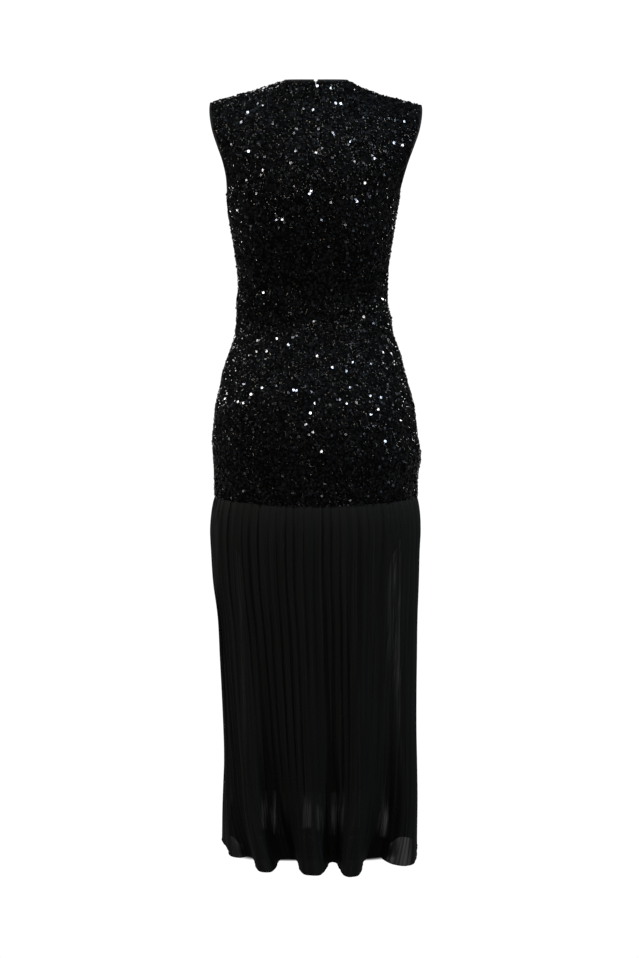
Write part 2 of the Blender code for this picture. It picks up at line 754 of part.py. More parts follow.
def ring_plate(name, outline, window, levels, place, origin):
    """A plate with a window through it. Each level is (height, inset), from one face to the other."""
    loops = []
    for height, inset in levels:
        middle = np.array([0.0, (outline[:, 1].min() + outline[:, 1].max()) / 2])
        shrink = 1 - inset / (np.abs(outline - middle).max(axis=0) + 1e-9)
        loops.append((middle + (outline - middle) * shrink, height))
    loops += [(window, levels[-1][0]), (window, levels[0][0])]
    size = len(outline)
    points = [place(a, b, height) for loop, height in loops for a, b in loop]
    faces = []
    for i in range(len(loops)):
        first, second = i * size, (i + 1) % len(loops) * size
        for j in range(size):
            after = (j + 1) % size
            faces.append((first + j, first + after, second + after, second + j))
    return add_mesh(name, points, faces, origin)


def build_slider(halves):
    """Slider body behind the panels, with its bail standing out through the opening."""
    frame = zip_frame(halves)
    outline = np.stack([SLIDER_OUTLINE["across"], SLIDER_OUTLINE["down"]], axis=1)
    sections = []
    for height, inset in (
        (SLIDER_OUTER, SLIDER_CHAMFER),
        (SLIDER_OUTER - SLIDER_CHAMFER, 0.0),
        (SLIDER_INNER + SLIDER_CHAMFER, 0.0),
        (SLIDER_INNER, SLIDER_CHAMFER),
    ):
        shrink = 1 - inset / np.abs(outline).max(axis=0)
        level = height - HINGE_HEIGHT
        sections.append([placed(frame, a, d, level) for a, d in outline * shrink])
    slider = add_loft("zip_slider", sections, False)
    outer = np.stack([BAIL_OUTER["down"], BAIL_OUTER["out"]], axis=1)
    inner = np.stack([BAIL_INNER["down"], BAIL_INNER["out"]], axis=1)
    loops = []
    for loop, across in (
        (outer, -BAIL_HALF_WIDTH),
        (outer, BAIL_HALF_WIDTH),
        (inner, BAIL_HALF_WIDTH),
        (inner, -BAIL_HALF_WIDTH),
    ):
        loops.append([placed(frame, across, d, o - HINGE_HEIGHT) for d, o in loop])
    bail = add_loft("zip_bail", np.array(loops), True)
    bail.hide_render = True
    union = slider.modifiers.new("bail joined", "BOOLEAN")
    union.operation = "UNION"
    union.solver = "EXACT"
    union.object = bail


def build_pull(halves):
    """Pull tab, hanging against the back of the dress from the slider's bail."""
    origin, down, out = zip_frame(halves)
    outer = halves["back", "left"]["outer"][:, 0] * (0, 1, 1)
    end = origin + down * PULL_LENGTH
    low = next(i for i in range(len(outer) - 1) if outer[i + 1, 2] < end[2])
    share = (end[2] - outer[low, 2]) / (outer[low + 1, 2] - outer[low, 2])
    under = outer[low] + (outer[low + 1] - outer[low]) * share
    hang = unit(under + out * (PULL_END_CLEARANCE + PULL_THICKNESS / 2) - origin)
    facing = np.array([0.0, -hang[2], hang[1]])
    half = PULL_THICKNESS / 2
    outline = np.stack([PULL_OUTER["across"], PULL_OUTER["down"]], axis=1)
    window = np.stack([PULL_WINDOW["across"], PULL_WINDOW["down"]], axis=1)
    levels = (
        (-half, PULL_EDGE_INSET),
        (PULL_EDGE_DEPTH - half, 0.0),
        (half - PULL_EDGE_DEPTH, 0.0),
        (half, PULL_EDGE_INSET),
    )
    ring_plate(
        "zip_pull",
        outline,
        window,
        levels,
        lambda a, d, o: placed((origin, hang, facing), a, d, o),
        origin,
    )


def spline(points, count):
    """Points evenly spaced by length along a smooth curve through the given ones."""
    knots = np.arange(len(points), dtype=float)
    fine = np.array([smooth(t, knots, points) for t in np.linspace(0, knots[-1], 1200)])
    return by_length(fine, count)


def by_length(points, count):
    steps = np.linalg.norm(np.diff(points, axis=0), axis=1)
    along = np.concatenate([[0], np.cumsum(steps)])
    even = np.linspace(0, along[-1], count)
    return np.stack([np.interp(even, along, points[:, k]) for k in range(points.shape[1])], axis=1)


def half_oval(left, right, depth, face, square, count):
    """A half ring in plan, from the left side over the back, or from the right over the front."""
    angle = np.linspace(0, math.pi, 721)
    across = np.cos(angle)
    width = np.where(across > 0, left, right)
    power = 2 / square
    x = width * np.sign(across) * np.abs(across) ** power
    y = depth * np.abs(np.sin(angle)) ** power
    oval = np.stack([x, y], axis=1)
    if face == "front":
        oval = oval[::-1] * (1, -1)
    return by_length(oval, count)


def ring_directions(back, front):
    """Tangents, outward normals and outward bend of both halves of a closed ring in plan."""
    whole = np.concatenate([back[:-1], front[:-1]])
    reach = np.roll(whole, -1, axis=0) - np.roll(whole, 1, axis=0)
    tangent = unit(reach)
    normal = np.stack([tangent[:, 1], -tangent[:, 0]], axis=1)
    if (normal * whole).sum() < 0:
        normal = -normal
    turn = np.roll(normal, -1, axis=0) - np.roll(normal, 1, axis=0)
    bend = (turn * tangent).sum(axis=1) / np.linalg.norm(reach, axis=1)
    bend = (np.roll(bend, 1) + 2 * bend + np.roll(bend, -1)) / 4
    seam = len(back) - 1
    around = {"back": np.arange(seam + 1), "front": np.arange(seam, len(whole) + 1) % len(whole)}
    return {face: (tangent[at], normal[at], bend[at]) for face, at in around.items()}


def pleat_depths(spacing, bend, opened):
    """Depth of each fold: what its flanks leave, and less where the ring bulges out tightly."""
    full = math.sqrt(max(FLANK**2 - spacing**2, 1.0))
    deep = PLEAT_DEPTH_AT_SEAM + (full - PLEAT_DEPTH_AT_SEAM) * opened
    room = CREST_SHARE / np.maximum(bend, 1e-3) - SKIRT_WALL
    return np.minimum(deep, np.maximum(room, SHALLOWEST_PLEAT))


def wall_ring(ring, tangent, normal, out, thick, z):
    """Outer and inner points of one half ring, its ends drawn in from the side seams."""
    ring = ring.copy()
    ring[0] += tangent[0] * SEAM_GAP / 2
    ring[-1] -= tangent[-1] * SEAM_GAP / 2
    level = np.full((len(ring), 1), z)
    outer = np.hstack([ring + normal * out[:, None], level])
    inner = np.hstack([ring + normal * (out - thick)[:, None], level])
    return outer, inner


def add_half(name, rows):
    add_wall(name, np.array([outer for outer, _ in rows]), np.array([inner for _, inner in rows]))


def build_skirt():
    """Pleated back and front: every ring shares the pleats' cloth out along its own length."""
    count = PLEATS + 1
    fold = np.arange(count) % 2
    hems = {
        "back": spline(np.stack([HEM_BACK["x"], HEM_BACK["y"]], axis=1), count),
        "front": spline(np.stack([HEM_FRONT["x"], HEM_FRONT["y"]], axis=1), count),
    }
    rows = {"back": [], "front": []}
    for i, z in enumerate(SKIRT["z"]):
        rings = {}
        for face, hem in hems.items():
            oval = half_oval(
                SKIRT["left"][i], SKIRT["right"][i], SKIRT[face][i], face, SKIRT_SQUARE, count
            )
            rings[face] = by_length(oval + (hem - oval) * SKIRT["flutes"][i], count)
        directions = ring_directions(rings["back"], rings["front"])
        opened = min(1.0, (SEAM_Z - z) / (SEAM_Z - PLEATS_OPEN_BY_Z)) ** PLEATS_OPENING_POWER
        for face, ring in rings.items():
            tangent, normal, bend = directions[face]
            spacing = np.linalg.norm(np.diff(ring, axis=0), axis=1).mean()
            deep = pleat_depths(spacing, bend, opened)
            thick = SKIRT_WALL * np.hypot(spacing, deep) / spacing
            rows[face].append(wall_ring(ring, tangent, normal, deep * (fold - 1), thick, z))
    for face in rows:
        add_half("skirt_" + face, rows[face])


def build_lining():
    """Narrow slip inside the skirt, with a few soft folds."""
    count = LINING_COLUMNS + 1
    place = np.linspace(0, 1, count)
    rows = {"back": [], "front": []}
    for i, z in enumerate(LINING["z"]):
        width = LINING["half_width"][i]
        rings = {
            face: half_oval(width, width, LINING[face][i], face, LINING_SQUARE, count)
            for face in rows
        }
        directions = ring_directions(rings["back"], rings["front"])
        swell = np.zeros(count)
        for at, wide, deep in zip(
            LINING_FOLDS["place"], LINING_FOLDS["width"], LINING_FOLDS["depth"]
        ):
            swell += deep * (FOLD_CREST * np.exp(-(((place - at) / wide) ** 2)) - FOLD_TROUGH)
        swell *= LINING["folds"][i] * np.sqrt(np.sin(place * math.pi).clip(0))
        for face, ring in rings.items():
            tangent, normal, _ = directions[face]
            rows[face].append(wall_ring(ring, tangent, normal, swell, LINING_WALL, z))
    for face in rows:
        add_half("lining_" + face, rows[face])


KINDS = {
    "front": "sequinned cloth",
    "back_left": "sequinned cloth",
    "back_right": "sequinned cloth",
    "neck_binding": "turned binding",
    "armhole_binding_left": "turned binding",
    "armhole_binding_right": "turned binding",
    "back_zip": "zip tape",
    "zip_slider": "zip metal",
    "zip_bail": "zip metal",
    "zip_pull": "zip metal",
    "skirt_back": "chiffon",
    "skirt_front": "chiffon",
    "lining_back": "lining cloth",
    "lining_front": "lining cloth",
}

clear_scene()
bodice = bodice_halves()
build_bodice(bodice)
build_bands(bodice)
build_zip(bodice)
build_slider(bodice)
build_pull(bodice)
build_skirt()
build_lining()
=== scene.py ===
import math

import bpy
import numpy as np
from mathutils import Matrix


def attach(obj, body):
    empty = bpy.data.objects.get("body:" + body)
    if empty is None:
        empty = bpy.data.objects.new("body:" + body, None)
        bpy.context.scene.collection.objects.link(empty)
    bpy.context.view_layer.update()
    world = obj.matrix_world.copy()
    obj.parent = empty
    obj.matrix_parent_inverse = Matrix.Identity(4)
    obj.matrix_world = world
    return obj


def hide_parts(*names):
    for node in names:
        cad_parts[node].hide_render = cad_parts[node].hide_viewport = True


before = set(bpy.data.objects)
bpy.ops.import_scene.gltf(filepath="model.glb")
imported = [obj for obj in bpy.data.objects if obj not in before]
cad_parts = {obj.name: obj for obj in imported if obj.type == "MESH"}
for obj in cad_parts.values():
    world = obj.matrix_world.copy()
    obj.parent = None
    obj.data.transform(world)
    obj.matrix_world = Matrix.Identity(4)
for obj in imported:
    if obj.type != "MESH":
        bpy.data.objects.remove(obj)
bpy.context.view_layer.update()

# --- Studio -----------------------------------------------------------------------------------
# Not part of the dress. A plain white room seen by the camera, with small hard lamps that the
# sequins flash in, and soft boxes overhead and at the sides. The pale floor is white to the
# camera, but for a painted dark shade close under the hem, where the real shadow also falls.
FLOOR_Z = -1.3388
FLOOR_RADIUS = 6.0
FLOOR_SIDES = 96
FLOOR_SHADE = (0.126, 0.060)
FLOOR_SHADE_FORWARD = 0.056
FLOOR_FADE = (1.05, 2.2)
# Painted shade: the dark colour painted on the floor in a patch close under the hem.
FLOOR_SHADE_COLOUR = (0.06, 0.06, 0.06, 1)
WHITE = (1.0, 1.0, 1.0, 1.0)
CAMERA_AT = (-0.006, 3.2, -0.172)
CAMERA_PITCH = math.atan2(0.493, 3.2)
CAMERA_LENS = 71.5
CAMERA_SENSOR = 36.0

# How strong the room and the floor shine on the dress, and how strong to the camera.
ROOM_SHINE = (0.06, 1.05)
FLOOR_SHINE = (0.25, 1.05)

scene = bpy.context.scene
scene.view_settings.view_transform = "Standard"
camera = bpy.data.objects.new("camera", bpy.data.cameras.new("camera"))
camera.data.lens = CAMERA_LENS
camera.data.sensor_width = CAMERA_SENSOR
camera.location = CAMERA_AT
camera.rotation_euler = (math.pi / 2 - CAMERA_PITCH, 0.0, math.pi)
scene.collection.objects.link(camera)
scene.camera = camera


def soft_light(name, place, aim, size, watts, colour=(1.0, 1.0, 1.0), disk=False):
    """An area lamp that turns towards a point and isn't seen by the camera."""
    lamp = bpy.data.lights.new(name, "AREA")
    lamp.shape = "DISK" if disk else "RECTANGLE"
    lamp.size, lamp.size_y = size
    lamp.energy = watts
    lamp.color = colour
    item = bpy.data.objects.new(name, lamp)
    item.location = place
    way = np.array(aim) - np.array(place)
    pitch = math.atan2(math.hypot(way[0], way[1]), -way[2])
    item.rotation_euler = (pitch, 0.0, math.atan2(-way[0], way[1]))
    item.visible_camera = False
    scene.collection.objects.link(item)
    return item


WARM, COOL = (1.0, 0.92, 0.84), (0.84, 0.92, 1.0)
soft_light("key lamp", (0.1, 2.3, 1.45), (0.0, 0.1, -0.3), (0.34, 0.34), 42.0, disk=True)
soft_light("low lamp", (-0.5, 2.8, 0.25), (0.0, 0.1, -0.5), (0.26, 0.26), 22.0, WARM, True)
soft_light("high left lamp", (1.8, 1.1, 1.7), (0.0, 0.1, -0.3), (0.28, 0.28), 30.0, disk=True)
soft_light("high right lamp", (-1.9, 1.1, 1.6), (0.0, 0.1, -0.3), (0.30, 0.30), 36.0, COOL, True)
soft_light("left kicker", (2.5, 1.1, 0.5), (0.0, 0.0, -0.4), (0.3, 0.3), 40.0, WARM, True)
soft_light("right kicker", (-2.5, 1.2, 0.6), (0.0, 0.0, -0.4), (0.3, 0.3), 40.0, COOL, True)
soft_light("left rim lamp", (2.2, -1.5, 0.4), (0.0, 0.0, -0.4), (0.3, 0.3), 22.0, disk=True)
soft_light("right rim lamp", (-2.2, -1.5, 0.5), (0.0, 0.0, -0.4), (0.3, 0.3), 22.0, disk=True)
soft_light("overhead box", (0.0, 0.4, 2.6), (0.0, 0.0, 0.0), (3.4, 3.4), 26.0, (0.74, 0.87, 1.0))
soft_light("left box", (3.0, 1.2, 0.2), (0.0, 0.0, -0.5), (0.7, 2.6), 6.0, (0.9, 0.95, 1.0))
soft_light("right box", (-3.0, 1.4, 0.2), (0.0, 0.0, -0.5), (0.7, 2.6), 12.0, (0.84, 0.92, 1.0))
soft_light("front side box", (0.6, -3.2, 1.6), (0.0, 0.0, -0.5), (0.9, 1.6), 30.0)


def feed(tree, node, *values, **named):
    """Sets up a node. Lower-case names are settings. The rest are inputs, by number or by name,
    and each is a plain value or comes from another node or one of its outputs."""
    inputs = dict(enumerate(values))
    for name, value in named.items():
        if name.islower():
            setattr(node, name, value)
        else:
            inputs[name.replace("_", " ")] = value
    for name, value in inputs.items():
        if isinstance(value, bpy.types.Node):
            value = next(socket for socket in value.outputs if socket.enabled)
        if isinstance(value, bpy.types.NodeSocket):
            tree.links.new(value, node.inputs[name])
        else:
            node.inputs[name].default_value = value
    return node


def add(tree, kind, *values, **named):
    """A new node of a tree, set up by feed."""
    return feed(tree, tree.nodes.new(kind), *values, **named)


def new_material(name, **inputs):
    """A material with these inputs of its shader, and its tree and shader."""
    material = bpy.data.materials.new(name)
    material.use_nodes = True
    tree = material.node_tree
    return material, tree, feed(tree, tree.nodes["Principled BSDF"], **inputs)


def shine_of(tree, shine):
    """A strength that is one thing to the camera and another to everything else."""
    seen = add(tree, "ShaderNodeLightPath").outputs["Is Camera Ray"]
    return add(tree, "ShaderNodeMapRange", Value=seen, To_Min=shine[0], To_Max=shine[1])


world = bpy.data.worlds.new("white room")
world.use_nodes = True
tree = world.node_tree
feed(tree, tree.nodes["Background"], Color=WHITE, Strength=shine_of(tree, ROOM_SHINE))
scene.world = world

floor_mesh = bpy.data.meshes.new("floor")
turns = np.linspace(0, 2 * math.pi, FLOOR_SIDES + 1)[:-1]
floor_mesh.from_pydata(
    [(FLOOR_RADIUS * math.cos(a), FLOOR_RADIUS * math.sin(a), FLOOR_Z) for a in turns],
    [],
    [tuple(range(FLOOR_SIDES))],
)
floor = bpy.data.objects.new("floor", floor_mesh)
scene.collection.objects.link(floor)
# Painted shade: inside a rounded patch under the dress the floor is painted dark, on top of the
# real shadow cast there, and it fades out to the even white glow further off.
paint, tree, matt = new_material(
    "pale floor", Base_Color=FLOOR_SHADE_COLOUR, Roughness=0.95, Specular_IOR_Level=0.0
)
where = add(tree, "ShaderNodeTexCoord").outputs["Object"]
scaled = (1 / FLOOR_SHADE[0], 1 / FLOOR_SHADE[1], 0)
moved = (0, FLOOR_SHADE_FORWARD / FLOOR_SHADE[1], 0)
flat = add(tree, "ShaderNodeVectorMath", where, scaled, moved, operation="MULTIPLY_ADD")
squared = add(tree, "ShaderNodeVectorMath", flat, flat, operation="MULTIPLY")
reach = add(tree, "ShaderNodeVectorMath", squared, squared, operation="DOT_PRODUCT")
fade = add(
    tree, "ShaderNodeMapRange", interpolation_type="SMOOTHSTEP",
    Value=reach, From_Min=FLOOR_FADE[0], From_Max=FLOOR_FADE[1],
)
glow = add(tree, "ShaderNodeEmission", Strength=shine_of(tree, FLOOR_SHINE))
blend = add(tree, "ShaderNodeMixShader", fade, matt, glow)
feed(tree, tree.nodes["Material Output"], Surface=blend)
floor_mesh.materials.append(paint)

# --- Bodice cloth -----------------------------------------------------------------------------
# Two back panels and one front panel of black stretch velvet, cut from neck to hip and joined at
# the shoulders, the sides and, by the zip, down the centre back. Each is a thin shell a little
# inside its solid's outer face, which leaves the room that the sequins take.
MM = 0.001
PANEL_SINK = 0.7
PANEL_WALL = 0.9
NECK_HALF_WIDTH = 56.0
NECK_RISE_POWER = 1.5
NECK_SHOULDER_Z = -2.0
NECK = {"back": (54.0, -5.0), "front": (-61.0, -42.0)}
SLIT_HALF_WIDTH = 0.12
SLIDER_SLIT_HALF_WIDTH = 1.5
FIXED_X = (SLIT_HALF_WIDTH, 5.0, 12.0)
SHARES = (0.16, 0.25, 0.34, 0.43, 0.52, 0.61, 0.70, 0.79, 0.865, 0.935, 1.0)
NECK_ANGLES = (30.0, 50.0, 70.0, 90.0)
NECK_COLUMN = 6
FAN = (0, 2, 4, 14, 26, 36, 40, 27, 17, 10, 5, 2, 0, 0)
YOKE_ROWS = 5
SHOULDER_DIP_POWER = 0.7
EDGE_PULL_POWER = 5
CREASE_BOW = 0.0012
LAST_ROW = 26
ARMHOLE_ROW = 9
FINER = (5, 4)


def table(columns, *rows):
    """A short table as one array for each named column."""
    return {name: np.array(values) for name, values in zip(columns.split(), zip(*rows))}


# Millimetres. From the neckline and shoulder seam (0) to the shoulder blades (5).
YOKE = table(
    "name share edge_x edge_z back_edge front_edge",
    ("neckline and shoulder", 0.00, 171.0, -38.0, 0.0, 0.0),
    ("shoulder top", 0.10, 171.5, -47.0, 13.0, -11.0),
    ("shoulder cap", 0.26, 170.0, -62.0, 28.0, -25.0),
    ("upper armhole", 0.48, 166.0, -82.0, 41.0, -38.0),
    ("mid armhole", 0.74, 158.5, -106.0, 49.5, -45.5),
    ("shoulder blades", 1.00, 150.5, -131.0, 51.5, -47.0),
)
BODICE = table(
    "name edge_x edge_z back_z back_y back_edge front_z front_y front_edge square closure shift",
    ("blades", 150.5, -131, -148, 102, 51.5, -145, -109, -47, 2.5, 1.2, 0.5),
    ("lower armhole", 145.0, -155, -168, 104, 44, -166, -115, -40, 2.6, 1.35, 1.5),
    ("scye", 143.0, -172, -182, 104, 32, -181, -119, -29, 2.7, 1.53, 3.0),
    ("scye turn", 142.8, -184, -192, 104, 17, -193, -122, -15.5, 2.85, 1.77, 4.0),
    ("underarm", 143.5, -190, -202, 103, 0, -205, -125, 0, 3.0, 2, 4.5),
    ("upper bust", 138.8, -224, -230, 100, 0, -233, -130.5, 0, 2.85, 2, 6.0),
    ("bust", 134.0, -255, -257, 95, 0, -260, -132.5, 0, 2.7, 2, 5.5),
    ("under bust", 129.5, -283, -284, 88, 0, -286, -128.5, 0, 2.55, 2, 5.5),
    ("ribs", 126.2, -311, -311, 80, 0, -312, -119, 0, 2.4, 2, 5.5),
    ("high waist", 124.8, -339, -339, 73, 0, -339, -106, 0, 2.25, 2, 5.0),
    ("waist", 125.0, -366, -366, 69, 0, -366, -95.5, 0, 2.2, 2, 5.0),
    ("low waist", 128.3, -393, -393, 69.5, 0, -393, -91, 0, 2.2, 2, 4.5),
    ("waist flare", 133.0, -420, -420, 75, 0, -420, -92.5, 0, 2.2, 2, 3.5),
    ("top hip", 141.5, -448, -448, 86, 0, -448, -97, 0, 2.2, 2, 3.0),
    ("high hip", 150.5, -476, -476, 99, 0, -476, -101, 0, 2.25, 2, 2.5),
    ("upper seat", 158.6, -505, -505, 110, 0, -505, -103, 0, 2.25, 2, 2.5),
    ("seat", 166.5, -535, -535, 118, 0, -535, -103, 0, 2.25, 2, 2.0),
    ("full seat", 170.5, -565, -565, 123, 0, -565, -101, 0, 2.25, 2, 1.5),
    ("hip", 173.0, -595, -595, 125, 0, -595, -99, 0, 2.25, 2, 0.5),
    ("full hip", 174.3, -625, -625, 124, 0, -625, -97.5, 0, 2.25, 2, -0.5),
    ("low hip", 172.5, -658, -658, 121, 0, -658, -96.5, 0, 2.25, 2, 0.0),
    ("hip seam", 172.5, -691, -691, 117, 0, -691, -96, 0, 2.25, 2, 0.0),
)
DRAPES = table(
    "name z spread depth side",
    ("left waist", -366.0, 15.0, 2.4, 1),
    ("right waist", -393.0, 16.0, 2.2, -1),
    ("left high hip", -476.0, 16.0, 2.0, 1),
    ("right high hip", -448.0, 16.0, 2.2, -1),
    ("left hip", -595.0, 16.0, 1.6, 1),
    ("right hip", -625.0, 15.0, 2.6, -1),
)
LEAVES = {"back": (0.28, -0.96), "front": (0.42, -0.91), "shoulder": (0.90, -0.43)}
SHOULDERS = {1: {"lift": 3.0, "dip": 0.5}, -1: {"lift": -1.0, "dip": 4.5}}

# Soft ridges (+) and troughs (-) of the worn cloth: where across and down, half length, half
# height, tilt in degrees and depth.
CREASES = table(
    "face x z long high tilt depth",
    ("back", 60, -300, 70, 9, -6, -1.3),
    ("back", -52, -318, 62, 10, 8, 1.4),
    ("back", 20, -338, 85, 8, 3, -1.2),
    ("back", -66, -352, 58, 9, -10, -1.5),
    ("back", 58, -362, 66, 11, 7, 1.7),
    ("back", -30, -377, 80, 9, -2, 1.5),
    ("back", 30, -396, 92, 10, -5, -1.6),
    ("back", -72, -410, 60, 10, 12, 1.6),
    ("back", 68, -424, 64, 11, -9, 1.4),
    ("back", -78, -470, 62, 13, 15, -1.8),
    ("back", 80, -478, 62, 12, -14, -1.2),
    ("back", 18, -452, 70, 13, 4, 1.1),
    ("back", -96, -556, 55, 12, 10, -1.9),
    ("back", 88, -560, 60, 12, -8, -1.3),
    ("back", -20, -585, 95, 12, 2, -0.9),
    ("back", 60, -640, 70, 10, -4, -1.1),
    ("back", -80, -646, 66, 10, 6, -1.4),
    ("front", 62, -318, 60, 9, 14, -1.5),
    ("front", -60, -322, 64, 9, -12, -1.4),
    ("front", 24, -346, 84, 9, -3, 1.3),
    ("front", -40, -364, 78, 9, 5, -1.5),
    ("front", 66, -378, 62, 11, 8, 1.6),
    ("front", -70, -392, 58, 10, -8, 1.5),
    ("front", 20, -404, 90, 10, 2, -1.3),
    ("front", -18, -438, 80, 12, -4, 1.1),
    ("front", 82, -470, 60, 12, 12, -1.4),
    ("front", -84, -484, 60, 12, -12, -1.5),
    ("front", 30, -560, 90, 13, 3, -0.9),
    ("front", -88, -606, 62, 11, -6, -1.2),
    ("front", 86, -632, 62, 10, 5, -1.2),
    ("front", 104, -196, 26, 9, -38, -1.6),
    ("front", -104, -196, 26, 9, 38, -1.6),
    ("back", 108, -205, 26, 9, 30, -1.3),
    ("back", -108, -200, 26, 9, -30, -1.5),
)


def unit(vectors):
    """The same directions, all of length one."""
    vectors = np.asarray(vectors, float)
    return vectors / np.linalg.norm(vectors, axis=-1, keepdims=True)


def cubic(t, start, end, leaves, arrives):
    """A cubic from start to end, with the slopes that it leaves and arrives with."""
    return (
        (1 + 2 * t) * (1 - t) ** 2 * start
        + t * (1 - t) ** 2 * leaves
        + t * t * (3 - 2 * t) * end
        + t * t * (t - 1) * arrives
    )


def smooth(at, knots, values):
    """A cubic through the values, whose slope at each knot comes from its two neighbours."""
    slopes = np.gradient(values, knots, axis=0)
    low = int(np.clip(np.searchsorted(knots, at) - 1, 0, len(knots) - 2))
    width = knots[low + 1] - knots[low]
    t = (at - knots[low]) / width
    return cubic(t, values[low], values[low + 1], width * slopes[low], width * slopes[low + 1])


def finer(grid, steps):
    """The same surface with more points between those of its grid, along both ways."""
    for axis, count in enumerate(steps):
        grid = np.moveaxis(grid, axis, 0)
        slopes = np.gradient(grid, axis=0)
        at = np.linspace(0, len(grid) - 1, (len(grid) - 1) * count + 1)
        low = np.minimum(at.astype(int), len(grid) - 2)
        t = (at - low).reshape(-1, 1, 1)
        grid = cubic(t, grid[low], grid[low + 1], slopes[low], slopes[low + 1])
        grid = np.moveaxis(grid, 0, axis)
    return grid


def bodice_row(row, face):
    """Points of one half row below the yoke, from the centre to the side."""
    at = {
        name: smooth(row - YOKE_ROWS, np.arange(len(values)), values)
        for name, values in BODICE.items()
        if name != "name"
    }
    crowding = np.clip(at["closure"] - 1, 0, 1)
    shares = np.array(SHARES)
    shares = (1 - crowding) * shares + crowding * np.sin(shares * math.pi / 2)
    x = np.concatenate([FIXED_X, at["edge_x"] * shares])
    share = x / at["edge_x"]
    edge_y = at[face + "_edge"]
    rise = (1 - np.clip(share, 0, 1) ** at["square"]) ** (1 / at["closure"])
    y = edge_y + (at[face + "_y"] - edge_y) * rise
    z = at[face + "_z"] + (at["edge_z"] - at[face + "_z"]) * share**2
    return np.stack([x, y, z], axis=1)


def top_row(face, shoulder):
    """The neckline's arc and then the shoulder seam, from the centre to the shoulder tip."""
    depth, drop = NECK[face]
    middle = np.arcsin(np.array(FIXED_X) / NECK_HALF_WIDTH)
    angle = np.concatenate([middle, np.radians(NECK_ANGLES)])
    across, deep = NECK_HALF_WIDTH * np.sin(angle), depth * np.cos(angle)
    rise = (drop - NECK_SHOULDER_Z) * np.cos(angle) ** NECK_RISE_POWER
    neck = np.stack([across, deep, NECK_SHOULDER_Z + rise], 1)
    tip = np.array([YOKE["edge_x"][0], 0.0, YOKE["edge_z"][0] + shoulder["lift"]])
    steps = len(FIXED_X) + len(SHARES) - len(neck)
    way = (np.arange(steps) + 1)[:, None] / steps
    seam = neck[-1] + (tip - neck[-1]) * way
    seam[:, 2] -= shoulder["dip"] * np.sin(way[:, 0] ** SHOULDER_DIP_POWER * math.pi)
    return np.vstack([neck, seam])


def yoke_row(row, face, shoulder):
    """Points of one half row above the shoulder blades, eased from the neckline and shoulder."""
    knots = np.arange(YOKE_ROWS + 1)
    share = smooth(row, knots, YOKE["share"])
    top = top_row(face, shoulder)
    blades = bodice_row(YOKE_ROWS, face)
    far = np.linalg.norm(blades - top, axis=1, keepdims=True)
    turn = np.ones(len(top))
    turn[: NECK_COLUMN + 1] = 1 - np.cos(np.arcsin(top[: NECK_COLUMN + 1, 0] / NECK_HALF_WIDTH))
    out, down = np.outer(1 - turn, LEAVES[face]).T + np.outer(turn, LEAVES["shoulder"]).T
    fan = np.radians(FAN)
    side = 1 if face == "back" else -1
    leaves = unit(np.stack([out * np.sin(fan), out * np.cos(fan) * side, down], axis=1)) * far
    arrives = unit(bodice_row(YOKE_ROWS + 1, face) - blades) * far
    points = cubic(share, top, blades, leaves, arrives)
    edge = [smooth(row, knots, YOKE[name]) for name in ("edge_x", face + "_edge", "edge_z")]
    edge[2] += shoulder["lift"] * (1 - row / YOKE_ROWS)
    pull = (points[:, :1] / points[-1, 0]) ** EDGE_PULL_POWER
    points = points + (np.array(edge) - points[-1]) * pull
    points[: len(FIXED_X), 0] = FIXED_X
    return points


def half_panel(face, side):
    """Outer points of a half of the front or back, on the wearer's left (1) or right (-1)."""
    rows = []
    drapes = [DRAPES[name] for name in ("z", "spread", "depth", "side")]
    for row in range(LAST_ROW + 1):
        yoke = row < YOKE_ROWS
        points = yoke_row(row, face, SHOULDERS[side]) if yoke else bodice_row(row, face)
        half, depth = points[-1, 0], abs(points[0, 1])
        if row > ARMHOLE_ROW:
            outward = unit(np.stack([points[:, 0] / half**2, points[:, 1] / depth**2], axis=1))
            for z, spread, height, where in zip(*drapes):
                if where == side:
                    swell = height * np.exp(-(((points[:, 2] - z) / spread) ** 2))
                    points[:, :2] += outward * (swell * (points[:, 0] / half) ** 2)[:, None]
        shift = BODICE["shift"][max(row - YOKE_ROWS, 0)] * min(1.0, row / YOKE_ROWS)
        points[:, 0] = points[:, 0] * side
        points[len(FIXED_X) :, 0] += shift * (points[len(FIXED_X) :, 0] / points[-1, 0])
        rows.append(points)
    return np.array(rows)


def normals_of(grid):
    """Unit normals of a grid of points, pointing away from the garment's axis."""
    normal = unit(np.cross(np.gradient(grid, axis=0), np.gradient(grid, axis=1)))
    return normal if (grid * (1, 1, 0) * normal).sum() > 0 else -normal


def crease(grid, face):
    """Depth of the listed creases of a face at each point."""
    depth = np.zeros(grid.shape[:2])
    for which, x, z, long, high, tilt, deep in zip(*CREASES.values()):
        if which == face:
            across, down = grid[..., 0] - x, grid[..., 2] - z
            turn = math.radians(tilt)
            along = across * math.cos(turn) + down * math.sin(turn)
            off = down * math.cos(turn) - across * math.sin(turn) + CREASE_BOW * along**2
            depth += deep * np.exp(-((along / long) ** 2) - (off / high) ** 2)
    return depth


def cloth_map(grid):
    """Lengths along and down a grid of points, in metres, as the cloth's own coordinates."""
    along = np.linalg.norm(np.diff(grid, axis=1), axis=2)
    down = np.linalg.norm(np.diff(grid, axis=0), axis=2)
    u = np.concatenate([np.zeros((len(grid), 1)), np.cumsum(along, axis=1)], axis=1)
    v = np.concatenate([np.zeros((1, grid.shape[1])), np.cumsum(down, axis=0)])
    return np.stack([u, -v], axis=2) * MM


